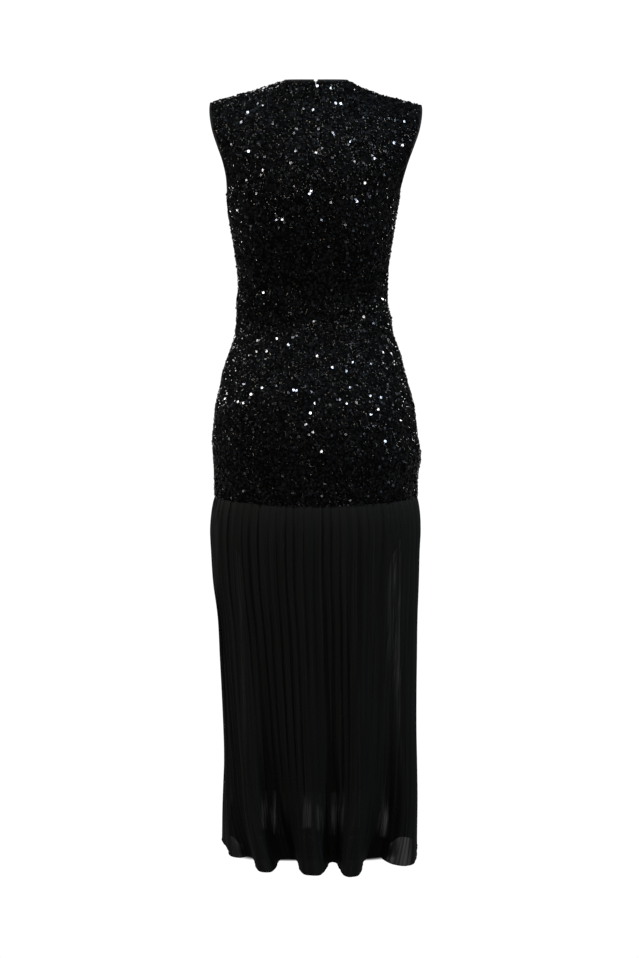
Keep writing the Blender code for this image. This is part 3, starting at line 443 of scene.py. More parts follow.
def new_piece(name, points, faces, cloth=None, material=None):
    """An object at the origin from points in metres, smooth, with the cloth's map where given."""
    mesh = bpy.data.meshes.new(name)
    faces = faces.tolist() if isinstance(faces, np.ndarray) else faces
    mesh.from_pydata(np.asarray(points).tolist(), [], faces)
    if cloth is not None:
        layer = mesh.uv_layers.new(name="cloth")
        corners = np.zeros(len(mesh.loops), int)
        mesh.loops.foreach_get("vertex_index", corners)
        layer.data.foreach_set("uv", np.asarray(cloth)[corners].ravel())
    if material is not None:
        mesh.materials.append(material)
    mesh.shade_smooth()
    item = bpy.data.objects.new(name, mesh)
    scene.collection.objects.link(item)
    return item


def grid_faces(rows, columns, closed=False):
    """Quads over a grid of numbered points; a closed grid joins its last column to its first."""
    index = np.arange(rows * columns).reshape(rows, columns)
    if closed:
        index = np.concatenate([index, index[:, :1]], axis=1)
    corners = [index[:-1, :-1], index[1:, :-1], index[1:, 1:], index[:-1, 1:]]
    return np.stack(corners, axis=-1).reshape(-1, 4)


def facing_out(points, faces):
    """The faces of a closed shell, turned where need be so that they look outwards."""
    a, b, c = (points[faces[:, k]] for k in (0, 1, 2))
    d = points[faces[:, 3]]
    volume = (a * np.cross(b, c)).sum() + (a * np.cross(c, d)).sum()
    return faces if volume > 0 else faces[:, ::-1]


def shell(name, outer, inner, cloth, material):
    """A thin cloth shell between two grids of points in millimetres, closed round its rim."""
    rows, columns = outer.shape[:2]
    front = grid_faces(rows, columns)
    far = rows * columns
    index = np.arange(far).reshape(rows, columns)
    rim = np.concatenate([index[0], index[1:, -1], index[-1, -2::-1], index[-2:0:-1, 0]])
    after = np.roll(rim, -1)
    around = np.stack([rim, after, after + far, rim + far], axis=1)
    points = np.concatenate([outer.reshape(-1, 3), inner.reshape(-1, 3)]) * MM
    faces = facing_out(points, np.concatenate([front, front[:, ::-1] + far, around]))
    return new_piece(name, points, faces, np.tile(cloth.reshape(-1, 2), (2, 1)), material)


def join_halves(right, left):
    """One grid from two mirrored halves that share their centre column."""
    return np.concatenate([right[:, :0:-1], left], axis=1)


def new_group(name, kind, inputs, **outputs):
    """A node group with these inputs (name, kind of socket, value) and outputs. It comes with
    what it's given and with the node that it ends in."""
    tree = bpy.data.node_groups.new(name, kind)
    for label, sort, value in inputs:
        socket = tree.interface.new_socket(label, in_out="INPUT", socket_type="NodeSocket" + sort)
        if value is not None:
            socket.default_value = value
    for label, sort in outputs.items():
        tree.interface.new_socket(label, in_out="OUTPUT", socket_type="NodeSocket" + sort)
    given, made = tree.nodes.new("NodeGroupInput"), tree.nodes.new("NodeGroupOutput")
    return tree, given.outputs, made


def calc(tree, operation, *values):
    """A sum with one or more numbers in a node tree."""
    return add(tree, "ShaderNodeMath", *values, operation=operation)


def weave_group():
    """Shader node group: a plain weave or knit on the cloth's own map, as height and tone."""
    tree, given, made = new_group(
        "woven threads", "ShaderNodeTree",
        [
            ("Map", "Vector", None),
            ("Across", "Float", 2000.0),
            ("Down", "Float", 2000.0),
            ("Slub", "Float", 0.3),
        ],
        Height="Float", Tone="Float",
    )
    count = add(tree, "ShaderNodeCombineXYZ", given["Across"], given["Down"])
    scaled = add(tree, "ShaderNodeVectorMath", given["Map"], count, operation="MULTIPLY")
    parts = add(tree, "ShaderNodeSeparateXYZ", scaled).outputs
    cross = calc(tree, "MULTIPLY", *[calc(tree, "SINE", parts[axis]) for axis in ("X", "Y")])
    slub = add(tree, "ShaderNodeTexNoise", Vector=given["Map"], Scale=260.0, Detail=3.0)
    uneven = calc(tree, "MULTIPLY", slub, given["Slub"])
    height = calc(tree, "MULTIPLY_ADD", cross, 0.5, uneven)
    tone = add(tree, "ShaderNodeMapRange", Value=height, From_Min=-0.5, From_Max=0.9)
    feed(tree, made, Height=height, Tone=tone)
    return tree


WEAVE = weave_group()


def cloth_material(name, dark, light, roughness, threads, slub=0.3, bump=0.3, relief=0.00008):
    """A woven or knitted cloth on the piece's cloth map, and its tree and shader."""
    material, tree, shader = new_material(name, Roughness=roughness, Specular_IOR_Level=0.15)
    weave = add(
        tree, "ShaderNodeGroup", node_tree=WEAVE, Map=add(tree, "ShaderNodeUVMap", uv_map="cloth"),
        Across=threads[0], Down=threads[1], Slub=slub,
    ).outputs
    colour = add(
        tree, "ShaderNodeMix", data_type="RGBA", Factor=weave["Tone"], A=(*dark, 1), B=(*light, 1)
    )
    raised = add(tree, "ShaderNodeBump", Strength=bump, Distance=relief, Height=weave["Height"])
    feed(tree, shader, Base_Color=colour, Normal=raised)
    return material, tree, shader


velvet, tree, shader = cloth_material(
    "black velvet ground", (0.0008, 0.0009, 0.0011), (0.0028, 0.0030, 0.0036),
    roughness=0.85, threads=(5200.0, 5200.0), slub=0.9, bump=0.6, relief=0.0003,
)
feed(tree, shader, Sheen_Weight=0.008, Sheen_Roughness=0.4, Specular_IOR_Level=0.02)

halves = {}
for face in ("back", "front"):
    for side in (1, -1):
        coarse = half_panel(face, side)
        if face == "front":
            coarse[:, 0, 0] = 0.0
        else:
            coarse[:2, 0, 0] = side * SLIDER_SLIT_HALF_WIDTH
        grid = finer(coarse, FINER)
        normal = normals_of(grid)
        grid = grid + normal * crease(grid, face)[..., None]
        normal = normals_of(grid)
        normal[0, NECK_COLUMN * FINER[1] :, 1] = 0
        normal[ARMHOLE_ROW * FINER[0] :, -1, 1] = 0
        normal[:, 0, 0] = 0
        halves[face, side] = {"grid": grid, "normal": unit(normal)}

left, right = halves["front", 1], halves["front", -1]
whole = {k: join_halves(right[k], left[k]) for k in ("grid", "normal")}
panels = {"back_left": halves["back", 1], "back_right": halves["back", -1], "front": whole}
for node, panel in panels.items():
    outer = panel["grid"] - panel["normal"] * PANEL_SINK
    inner = outer - panel["normal"] * PANEL_WALL
    piece = shell("bodice_" + node, outer, inner, cloth_map(outer), velvet)
    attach(piece, "dress")
    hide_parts(node)

# --- Sequins ----------------------------------------------------------------------------------
# Black plastic discs of about four millimetres, each sewn down through its middle, close
# together over the whole cloth and a little loose, so each turns its own way. Most are cupped
# and show a small dim point of each lamp; a few are flat and now and then flash all over.
SEQUIN_RADIUS = 0.0020
SEQUIN_CUP = 0.00034
SEQUIN_SPACING = 0.0028
SEQUIN_TILT = 16.5
SEQUIN_SPIN = 1.57
SEQUIN_LIFT = 0.0006
SEQUIN_LIFTS = (0.3, 2.6)
SEQUIN_SIZES = (0.9, 1.08)
SEQUIN_SIDES = 8
SEQUIN_DENSITY = 400000.0
FLAT_SHARE = 0.30
FLAT_LIFT = 0.8
FLAT_BROADER = 0.16
FLAT_SHALLOWER = 0.95
FLAT_TONES = (0.15, 0.85)
CUPPED_TONES = 0.8
LOOSE_RARITY = 9.0
LOOSE_TURN = 2.4
FIRM_TURN = 0.8
SEQUIN_OVERHANG = 1.6
EDGE_SHARES = (0.6, 0.3)
SEQUIN_SEEDS = {"back_left": 11, "back_right": 23, "front": 37}


def sequin_tree():
    """Geometry nodes: discs sewn at random over a surface, each turned a little its own way."""
    tree, given, made = new_group(
        "sewn sequins", "GeometryNodeTree",
        [
            ("Cloth", "Geometry", None),
            ("Radius", "Float", SEQUIN_RADIUS),
            ("Cup", "Float", SEQUIN_CUP),
            ("Spacing", "Float", SEQUIN_SPACING),
            ("Tilt", "Float", math.radians(SEQUIN_TILT)),
            ("Lift", "Float", SEQUIN_LIFT),
            ("Flat Share", "Float", FLAT_SHARE),
            ("Seed", "Int", 1),
            ("Finish", "Material", None),
        ],
        Sequins="Geometry",
    )

    def sum_of(operation, *values):
        """A sum in this tree."""
        return calc(tree, operation, *values)

    def draw(seed_step, low, high, kind="FLOAT"):
        """A random value for each sequin, from the seed and a step of its own."""
        seed = sum_of("ADD", given["Seed"], seed_step)
        return add(tree, "FunctionNodeRandomValue", data_type=kind, Min=low, Max=high, Seed=seed)

    places = add(
        tree, "GeometryNodeDistributePointsOnFaces", distribute_method="POISSON",
        Mesh=given["Cloth"], Distance_Min=given["Spacing"], Density_Max=SEQUIN_DENSITY,
        Density_Factor=add(tree, "GeometryNodeInputNamedAttribute", data_type="FLOAT", Name="sewn"),
        Seed=given["Seed"],
    )

    disc = add(
        tree, "GeometryNodeMeshCircle", fill_type="TRIANGLE_FAN",
        Vertices=SEQUIN_SIDES, Radius=given["Radius"],
    )
    spot = add(tree, "GeometryNodeInputPosition")
    out = add(tree, "ShaderNodeVectorMath", spot, operation="LENGTH")
    rim = sum_of("DIVIDE", out, given["Radius"])
    mark = add(
        tree, "GeometryNodeStoreNamedAttribute", data_type="FLOAT", domain="POINT",
        Geometry=disc, Name="rim", Value=rim,
    )
    rise = add(tree, "ShaderNodeCombineXYZ", Z=sum_of("MULTIPLY", rim, given["Cup"]))
    cup = add(tree, "GeometryNodeSetPosition", Geometry=mark, Offset=rise)

    tilt, minus = given["Tilt"], sum_of("MULTIPLY", given["Tilt"], -1.0)
    low = add(tree, "ShaderNodeCombineXYZ", minus, minus, -SEQUIN_SPIN)
    high = add(tree, "ShaderNodeCombineXYZ", tilt, tilt, SEQUIN_SPIN)
    turn, more = draw(100, low, high, "FLOAT_VECTOR"), draw(200, low, high, "FLOAT_VECTOR")
    loose = sum_of("POWER", draw(61, 0.0, 1.0), LOOSE_RARITY)
    loose = sum_of("ADD", sum_of("MULTIPLY", loose, LOOSE_TURN), FIRM_TURN)
    more = add(tree, "ShaderNodeVectorMath", more, operation="SCALE", Scale=loose)
    both = add(tree, "ShaderNodeVectorMath", turn, more, operation="ADD")
    stand = add(
        tree, "FunctionNodeRotateRotation", rotation_space="LOCAL",
        Rotation=places.outputs["Rotation"], Rotate_By=both,
    )

    level = sum_of("LESS_THAN", draw(19, 0.0, 1.0), given["Flat Share"])
    higher = sum_of("ADD", sum_of("MULTIPLY", level, FLAT_LIFT), draw(31, *SEQUIN_LIFTS))
    lift = sum_of("MULTIPLY", given["Lift"], higher)
    up = add(
        tree, "ShaderNodeVectorMath", places.outputs["Normal"], operation="SCALE", Scale=lift
    )
    off = add(tree, "GeometryNodeSetPosition", Geometry=places, Offset=up)
    size = draw(0, *SEQUIN_SIZES)
    broader = sum_of("ADD", sum_of("MULTIPLY", level, FLAT_BROADER), 1.0)
    shallower = sum_of("SUBTRACT", 1.0, sum_of("MULTIPLY", level, FLAT_SHALLOWER))
    broad, deep = sum_of("MULTIPLY", size, broader), sum_of("MULTIPLY", size, shallower)
    spread = add(tree, "ShaderNodeCombineXYZ", broad, broad, deep)
    sew = add(
        tree, "GeometryNodeInstanceOnPoints",
        Points=off, Instance=cup, Rotation=stand, Scale=spread,
    )

    tone = draw(7, 0.0, 1.0)
    bright = sum_of("ADD", sum_of("MULTIPLY", tone, FLAT_TONES[0]), FLAT_TONES[1])
    bright = sum_of("MULTIPLY", level, bright)
    kept = add(
        tree, "GeometryNodeStoreNamedAttribute", data_type="FLOAT", domain="INSTANCE",
        Geometry=sew, Name="tone",
        Value=sum_of("MAXIMUM", sum_of("MULTIPLY", tone, CUPPED_TONES), bright),
    )
    real = add(tree, "GeometryNodeRealizeInstances", Geometry=kept)
    dress = add(tree, "GeometryNodeSetMaterial", Geometry=real, Material=given["Finish"])
    feed(tree, made, Sequins=dress)
    return tree


def grown(source, tree, name, **values):
    """A plain mesh object from a node tree run on a source object, which is then removed."""
    modifier = source.modifiers.new("grow", "NODES")
    modifier.node_group = tree
    sockets = {s.name: s.identifier for s in tree.interface.items_tree if s.in_out == "INPUT"}
    for key, value in values.items():
        modifier[sockets[key.replace("_", " ")]] = value
    graph = bpy.context.evaluated_depsgraph_get()
    mesh = bpy.data.meshes.new_from_object(source.evaluated_get(graph), depsgraph=graph)
    mesh.name = name
    mesh.shade_smooth()
    item = bpy.data.objects.new(name, mesh)
    scene.collection.objects.link(item)
    source.modifiers.remove(modifier)
    bpy.data.objects.remove(source)
    return item


def ramp(tree, fac, *stops):
    """A colour ramp through (place, colour) stops, given in rising order."""
    made = add(tree, "ShaderNodeValToRGB", Fac=fac)
    steps = made.color_ramp.elements
    for step, (place, colour) in zip((steps[0], steps[-1]), (stops[0], stops[-1])):
        step.position, step.color = place, (*colour, 1)
    for place, colour in stops[1:-1]:
        steps.new(place).color = (*colour, 1)
    return made


def flip_outward(mesh):
    """Turns the faces of a surface round where they look towards the garment's axis."""
    middles = np.array([face.center for face in mesh.polygons])
    facing = middles * [face.normal for face in mesh.polygons]
    if facing[:, :2].sum() < 0:
        mesh.flip_normals()


# Black metallised plastic: each disc a little lighter, darker, bluer or browner.
sequin, tree, shader = new_material(
    "black sequin", Metallic=0.9, Specular_IOR_Level=0.2, Coat_Weight=0.015, Coat_Roughness=0.55
)
tone = add(tree, "ShaderNodeAttribute", attribute_name="tone").outputs["Fac"]
rim = add(tree, "ShaderNodeAttribute", attribute_name="rim").outputs["Fac"]
tint = ramp(
    tree, tone,
    (0.00, (0.0005, 0.0006, 0.0008)),
    (0.30, (0.0009, 0.0011, 0.0013)),
    (0.50, (0.0026, 0.0023, 0.0017)),
    (0.62, (0.0058, 0.0066, 0.0068)),
    (0.74, (0.0120, 0.0102, 0.0076)),
    (0.84, (0.0090, 0.0100, 0.0118)),
    (1.00, (0.020, 0.021, 0.023)),
)
hole = add(tree, "ShaderNodeMapRange", Value=rim, From_Min=0.20, From_Max=0.30, To_Min=0.25)
dim = add(
    tree, "ShaderNodeMix", data_type="RGBA", blend_type="MULTIPLY", Factor=1.0, A=tint, B=hole
)
rough = add(
    tree, "ShaderNodeMapRange",
    Value=tone, From_Min=0.78, From_Max=0.84, To_Min=0.13, To_Max=0.11,
)
feed(tree, shader, Base_Color=dim, Roughness=rough)

SEQUINS = sequin_tree()
for node, panel in panels.items():
    grid = panel["grid"] - panel["normal"] * PANEL_SINK
    grid = np.concatenate([grid, grid[-1:] + (0, 0, -SEQUIN_OVERHANG)])
    rows, columns = grid.shape[:2]
    carrier = new_piece("carrier", grid.reshape(-1, 3) * MM, grid_faces(rows, columns))
    flip_outward(carrier.data)
    sewn = np.ones((rows, columns))
    armhole = ARMHOLE_ROW * FINER[0] + 1
    for column in (0, -1) if node == "front" else (-1,):
        sewn[:armhole, column] = EDGE_SHARES[1]
    middle = columns // 2 if node == "front" else 0
    reach = NECK_COLUMN * FINER[1]
    sewn[0, max(middle - reach, 0) : middle + reach + 1] = EDGE_SHARES[0]
    marks = carrier.data.attributes.new("sewn", "FLOAT", "POINT")
    marks.data.foreach_set("value", sewn.ravel())
    piece = grown(carrier, SEQUINS, "sequins_" + node, Seed=SEQUIN_SEEDS[node], Finish=sequin)
    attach(piece, "dress")

# --- Neck and armhole binding -----------------------------------------------------------------
# A narrow strip of plain black satin, turned over the raw edge of the cloth and stitched down
# through it, round the neck to both sides of the zip and round each armhole.
BAND_HALF_WIDTH = 2.1
BAND_HALF_THICKNESS = 1.3
BAND_OFF_EDGE = 2.2
BAND_SIDES = 14
BAND_ROUNDNESS = 0.8
STITCH_FROM_MIDDLE = 1.1
STITCH_HALF_WIDTH = 0.45
STITCH_SINKS = 0.3
STITCH_HEIGHT = 0.75


def edge_line(face, side, edge):
    """Points, wall directions and directions off the cloth along one free edge."""
    half = halves[face, side]
    grid = half["grid"] - half["normal"] * (PANEL_SINK + PANEL_WALL / 2)
    if edge == "neck":
        span = slice(2, NECK_COLUMN * FINER[1] + 1)
        return grid[0, span], half["normal"][0, span], grid[0, span] - grid[1, span]
    span = slice(0, ARMHOLE_ROW * FINER[0] + 1)
    return grid[span, -1], half["normal"][span, -1], grid[span, -1] - grid[span, -2]


def run_of(parts):
    """One line from several (points, normals, off) parts, each in its own direction."""
    return [np.vstack([part[k] for part in parts]) for k in range(3)]


def tube(name, rings, closed, material):
    """A closed tube through rings of points in millimetres, mapped round and along. It's taken
    to be three times as far round as it's wide."""
    count, sides = rings.shape[:2]
    far = np.linalg.norm(np.diff(rings[:, 0], axis=0), axis=1)
    down = np.concatenate([[0], np.cumsum(far)])
    around = np.linspace(0, np.linalg.norm(rings[0, 0] - rings[0, sides // 2]) * 3, sides)
    cloth = np.stack(np.broadcast_arrays(around[None, :], down[:, None]), axis=2) * MM
    points = rings.reshape(-1, 3) * MM
    faces = grid_faces(count + int(closed), sides, closed=True) % (count * sides)
    faces = facing_out(points, faces).tolist()
    if not closed:
        first, last = list(range(sides)), list(range((count - 1) * sides, count * sides))
        wound = faces[0][(faces[0].index(0) + 1) % 4] == 1
        faces.append(first[::-1] if wound else first)
        faces.append(last if wound else last[::-1])
    return new_piece(name, points, faces, cloth.reshape(-1, 2), material)


def roll(at, up, half, sides=6):
    """Rings of a thin roll along a line, with its half sizes across and up."""
    along = unit(np.gradient(at, axis=0))
    side = unit(np.cross(up, along))
    top = np.cross(along, side)
    turn = (np.arange(sides) * 2 * math.pi / sides)[None, :, None]
    across, up = side[:, None] * np.cos(turn), top[:, None] * np.sin(turn)
    return at[:, None] + across * half[0] + up * half[1]


def band(name, at, normal, off, closed, material):
    """A rounded turned band with a shallow stitch groove, just off the cloth's edge."""
    along = np.roll(at, -1, 0) - np.roll(at, 1, 0) if closed else np.gradient(at, axis=0)
    normal = unit(normal)
    side = unit(np.cross(normal, unit(along)))
    side = side * np.sign((side * off).sum(axis=1, keepdims=True))
    turn = np.linspace(0, 2 * math.pi, BAND_SIDES + 1)[:-1]
    across, up = (
        half * np.sign(way) * np.abs(way) ** BAND_ROUNDNESS
        for half, way in ((BAND_HALF_WIDTH, np.cos(turn)), (BAND_HALF_THICKNESS, np.sin(turn)))
    )
    groove = np.exp(-(((across + STITCH_FROM_MIDDLE) / STITCH_HALF_WIDTH) ** 2))
    up = up * (1 - STITCH_SINKS * groove)
    ring = [at + side * (BAND_OFF_EDGE + a) + normal * u for a, u in zip(across, up)]
    item = tube(name, np.stack(ring, axis=1), closed, material)
    line = at + side * (BAND_OFF_EDGE - STITCH_FROM_MIDDLE)
    return item, line + normal * (BAND_HALF_THICKNESS * STITCH_HEIGHT)


satin, _, _ = cloth_material(
    "black satin binding", (0.0012, 0.0013, 0.0015), (0.0026, 0.0028, 0.0032),
    roughness=0.7, threads=(9000.0, 9000.0), bump=0.35,
)
stitch_lines = []
for side, word in ((1, "left"), (-1, "right")):
    back = edge_line("back", side, "armhole")
    front = edge_line("front", side, "armhole")
    ring = run_of([back, [part[-2:0:-1] for part in front]])
    piece, line = band("binding_armhole_" + word, *ring, True, satin)
    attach(piece, "dress")
    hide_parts("armhole_binding_" + word)
    stitch_lines.append((line, True))
back_left, back_right = edge_line("back", 1, "neck"), edge_line("back", -1, "neck")
front_left, front_right = edge_line("front", 1, "neck"), edge_line("front", -1, "neck")
front_left = [part[::-1] for part in front_left]
back_left, back_right = [part[:-1] for part in back_left], [part[-2::-1] for part in back_right]
ring = run_of([back_left, front_left, front_right, back_right])
piece, line = band("binding_neck", *ring, False, satin)
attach(piece, "dress")
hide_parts("neck_binding")
stitch_lines.append((line, False))

# --- Zip --------------------------------------------------------------------------------------
# An invisible zip, closed, sewn behind the centre back seam: two woven tapes, the coil's row of
# bars on their inner side, and a dark metal slider and pull tab, a little rubbed.
TAPE_SINK = 1.8
TAPE_WALL = 0.6
TAPE_COLUMNS = 9
TAPE_ROWS = (0, 101)
TAPE_PARTED_ROWS = 6
COIL_ROWS = (9, 100)
COIL_SINK = 3.2
COIL_PITCH = 0.0011
COIL_BAR = (0.0008, 0.0040, 0.0012)
TAPE_HALF_GAPS = (0.3, 0.15)
TAPE_STITCH_COLUMN = 6
STITCH_OFF_CLOTH = 0.1
STITCH = {"Pitch": 0.0026, "Bar": (0.0020, 0.00035, 0.00035), "Uneven": 0.06}


def bars_tree():
    """Geometry nodes: small rounded bars at an even pitch along lines, such as stitches."""
    tree, given, made = new_group(
        "bars along lines", "GeometryNodeTree",
        [
            ("Lines", "Geometry", None),
            ("Pitch", "Float", COIL_PITCH),
            ("Bar", "Vector", COIL_BAR),
            ("Uneven", "Float", 0.0),
            ("Seed", "Int", 1),
            ("Finish", "Material", None),
        ],
        Bars="Geometry",
    )
    curve = add(tree, "GeometryNodeMeshToCurve", Mesh=given["Lines"])
    even = add(tree, "GeometryNodeResampleCurve", mode="LENGTH", Curve=curve, Length=given["Pitch"])
    tangent = add(tree, "GeometryNodeInputTangent")
    turn = add(tree, "FunctionNodeAlignRotationToVector", axis="X", Vector=tangent)
    upright = add(
        tree, "FunctionNodeAlignRotationToVector", axis="Z", pivot_axis="X",
        Rotation=turn, Vector=(0, 1, 0),
    )
    most = add(tree, "ShaderNodeCombineXYZ", *[given["Uneven"]] * 3)
    least = add(tree, "ShaderNodeVectorMath", most, operation="SCALE", Scale=-1.0)
    stray = add(
        tree, "FunctionNodeRandomValue", data_type="FLOAT_VECTOR",
        Min=least, Max=most, Seed=given["Seed"],
    )
    loose = add(
        tree, "FunctionNodeRotateRotation", rotation_space="LOCAL",
        Rotation=upright, Rotate_By=stray,
    )
    bar = add(tree, "GeometryNodeMeshUVSphere", Segments=6, Rings=3, Radius=0.5)
    lay = add(
        tree, "GeometryNodeInstanceOnPoints",
        Points=even, Instance=bar, Rotation=loose, Scale=given["Bar"],
    )
    real = add(tree, "GeometryNodeRealizeInstances", Geometry=lay)
    dress = add(tree, "GeometryNodeSetMaterial", Geometry=real, Material=given["Finish"])
    feed(tree, made, Bars=dress)
    return tree


BARS = bars_tree()


def bars(name, lines, slot, **values):
    """Bars along (points, closed) lines given in millimetres, as one piece of the dress."""
    points, edges = [], []
    for line, closed in lines:
        index = np.arange(len(line)) + len(points)
        edges += np.stack([index[:-1], index[1:]], axis=1).tolist()
        if closed:
            edges.append([int(index[-1]), int(index[0])])
        points += (np.asarray(line) * MM).tolist()
    mesh = bpy.data.meshes.new("lines")
    mesh.from_pydata(points, edges, [])
    source = bpy.data.objects.new("lines", mesh)
    scene.collection.objects.link(source)
    piece = grown(source, BARS, name, **values)
    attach(piece, "dress")
    return piece


thread, _, _ = new_material(
    "black sewing thread", Base_Color=(0.0040, 0.0042, 0.0048, 1), Roughness=0.5,
    Specular_IOR_Level=0.3,
)
coil, _, _ = new_material(
    "black nylon coil", Base_Color=(0.0035, 0.0036, 0.0040, 1), Roughness=0.35,
    Specular_IOR_Level=0.3,
)
metal, tree, shader = new_material("dark rubbed metal", Metallic=1.0, Specular_IOR_Level=0.3)
where = add(tree, "ShaderNodeTexCoord").outputs["Object"]
rubs = add(tree, "ShaderNodeTexNoise", Vector=where, Scale=900.0, Detail=4.0)
tint = ramp(tree, rubs, (0.44, (0.004, 0.0042, 0.0044)), (0.70, (0.014, 0.0145, 0.015)))
shine = add(tree, "ShaderNodeMapRange", Value=rubs, To_Min=0.62, To_Max=0.45)
feed(tree, shader, Base_Color=tint, Roughness=shine)
for node in ("zip_slider", "zip_pull"):
    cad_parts[node].material_slots[0].material = metal

woven, _, _ = cloth_material(
    "black zip tape", (0.0014, 0.0015, 0.0017), (0.0042, 0.0044, 0.0048),
    roughness=0.8, threads=(4200.0, 6300.0), slub=0.2, bump=0.5, relief=0.00012,
)
tape_stitches = []
rows = slice(*TAPE_ROWS)
for side, word in ((1, "left"), (-1, "right")):
    half = halves["back", side]
    grid = half["grid"][rows, :TAPE_COLUMNS].copy()
    normal = half["normal"][rows, :TAPE_COLUMNS]
    grid[:TAPE_PARTED_ROWS, 0, 0] = side * TAPE_HALF_GAPS[0]
    grid[TAPE_PARTED_ROWS:, 0, 0] = side * TAPE_HALF_GAPS[1]
    outer = grid - normal * TAPE_SINK
    inner = outer - normal * TAPE_WALL
    tape = shell("zip_tape_" + word, outer, inner, cloth_map(outer), woven)
    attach(tape, "dress")
    if side > 0:
        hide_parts("back_zip")
    line = inner[:, TAPE_STITCH_COLUMN] - normal[:, TAPE_STITCH_COLUMN] * STITCH_OFF_CLOTH
    tape_stitches.append((line, False))
rows = slice(*COIL_ROWS)
half = halves["back", 1]
line = half["grid"][rows, 0] * (0, 1, 1) - half["normal"][rows, 0] * COIL_SINK
bars("zip_coil", [(line, False)], "zip_tape", Pitch=COIL_PITCH, Bar=COIL_BAR, Finish=coil)
bars("zip_tape_stitches", tape_stitches, "zip_tape", Seed=3, Finish=thread, **STITCH)
bars("binding_stitches", stitch_lines, "binding_cloth", Seed=4, Finish=thread, **STITCH)

# --- Lining -----------------------------------------------------------------------------------
# A narrow slip of opaque black jersey, back and front, sewn into the hip seam and hemmed above
# the skirt's hem. It hangs free inside the chiffon and is what makes the skirt dark.
SEAM_Z = -691.0
LINING_WALL = 0.8
LINING_HEM_ROWS = 3
LINING_POINTS = 145
LINING_ROWS = 66
LINING_SQUARE = 2.2
LINING_SINK = 0.1
HEM_GAP, HEM_WALL = 0.15, 0.5
LINING = table(
    "name z half_width back front folds",
    ("seam", -691.3, 167.0, 111.5, 91.0, 0.0),
    ("under seam", -722.0, 164.0, 107.0, 89.0, 0.0),
    ("taper", -760.0, 148.0, 102.0, 86.0, 0.6),
    ("upper thigh", -800.0, 131.0, 95.0, 82.0, 1.5),
    ("thigh", -860.0, 122.5, 85.0, 76.0, 2.5),
    ("knee", -940.0, 120.0, 74.0, 68.0, 3.5),
    ("below knee", -1020.0, 119.5, 66.0, 62.0, 4.2),
    ("calf", -1100.0, 120.0, 60.0, 57.0, 4.8),
    ("above hem", -1160.0, 121.0, 57.0, 54.0, 5.2),
    ("hem", -1203.0, 122.0, 55.0, 52.0, 5.5),
)
LINING_FOLDS = table(
    "name place width depth",
    ("left", 0.16, 0.050, 1.0),
    ("left of centre", 0.37, 0.060, 0.8),
    ("centre", 0.55, 0.050, 0.6),
    ("right of centre", 0.72, 0.055, 0.9),
    ("right", 0.88, 0.045, 1.0),
)
FOLD_CREST, FOLD_BETWEEN = 1.6, 0.4
FOLD_SWAY, SWAY_DROP, SWAY_APART = 0.02, 130, 9
OVAL_STEPS = 721


def by_length(points, count):
    """Points evenly spaced by length along a line of straight pieces."""
    along = np.concatenate([[0], np.cumsum(np.linalg.norm(np.diff(points, axis=0), axis=1))])
    even = np.linspace(0, along[-1], count)
    return np.stack([np.interp(even, along, points[:, k]) for k in range(points.shape[1])], axis=1)


def half_oval(left, right, depth, face, square, count):
    """A half ring in plan, from the left side over the back, or from the right over the front."""
    angle = np.linspace(0, math.pi, OVAL_STEPS)
    across = np.cos(angle)
    power = 2 / square
    x = np.where(across > 0, left, right) * np.sign(across) * np.abs(across) ** power
    oval = np.stack([x, depth * np.abs(np.sin(angle)) ** power], axis=1)
    return by_length(oval[::-1] * (1, -1) if face == "front" else oval, count)


def ring_ways(back, front):
    """Tangents, outward normals and outward bend of both halves of a closed ring in plan."""
    ring = np.concatenate([back[:-1], front[:-1]])
    step = np.roll(ring, -1, axis=0) - np.roll(ring, 1, axis=0)
    tangent = unit(step)
    normal = np.stack([tangent[:, 1], -tangent[:, 0]], axis=1)
    turn = np.roll(normal, -1, axis=0) - np.roll(normal, 1, axis=0)
    bend = (turn * tangent).sum(axis=1) / np.linalg.norm(step, axis=1)
    seam = len(back) - 1
    at = {"back": np.arange(seam + 1), "front": np.arange(seam, len(ring) + 1) % len(ring)}
    return {face: (tangent[k], normal[k], bend[k]) for face, k in at.items()}


def between(rings, z, name):
    """One column of a table of rings, at any height between them."""
    return smooth(-z, -rings["z"], rings[name])


jersey, _, _ = cloth_material(
    "black lining jersey", (0.0008, 0.0009, 0.0010), (0.0020, 0.0021, 0.0023),
    roughness=0.8, threads=(7000.0, 4200.0), slub=0.2, bump=0.4, relief=0.00012,
)
place = np.linspace(0, 1, LINING_POINTS)
lining = {"back": [], "front": []}
for z in np.linspace(LINING["z"][0], LINING["z"][-1], LINING_ROWS):
    width, folds = between(LINING, z, "half_width"), between(LINING, z, "folds")
    rings = {
        f: half_oval(width, width, between(LINING, z, f), f, LINING_SQUARE, LINING_POINTS)
        for f in lining
    }
    ways = ring_ways(rings["back"], rings["front"])
    swell = np.zeros(LINING_POINTS)
    for at, wide, deep in zip(*[LINING_FOLDS[k] for k in ("place", "width", "depth")]):
        lean = at + FOLD_SWAY * math.sin(z / SWAY_DROP + at * SWAY_APART)
        swell += deep * (FOLD_CREST * np.exp(-(((place - lean) / wide) ** 2)) - FOLD_BETWEEN)
    swell *= max(folds, 0.0) * np.sqrt(np.sin(place * math.pi).clip(0))
    for f, ring in rings.items():
        _, normal, _ = ways[f]
        level = np.full((LINING_POINTS, 1), z)
        outer, inner = (
            np.hstack([ring + normal * (swell - sink)[:, None], level])
            for sink in (LINING_SINK, LINING_SINK + LINING_WALL)
        )
        lining[f].append((outer, inner))
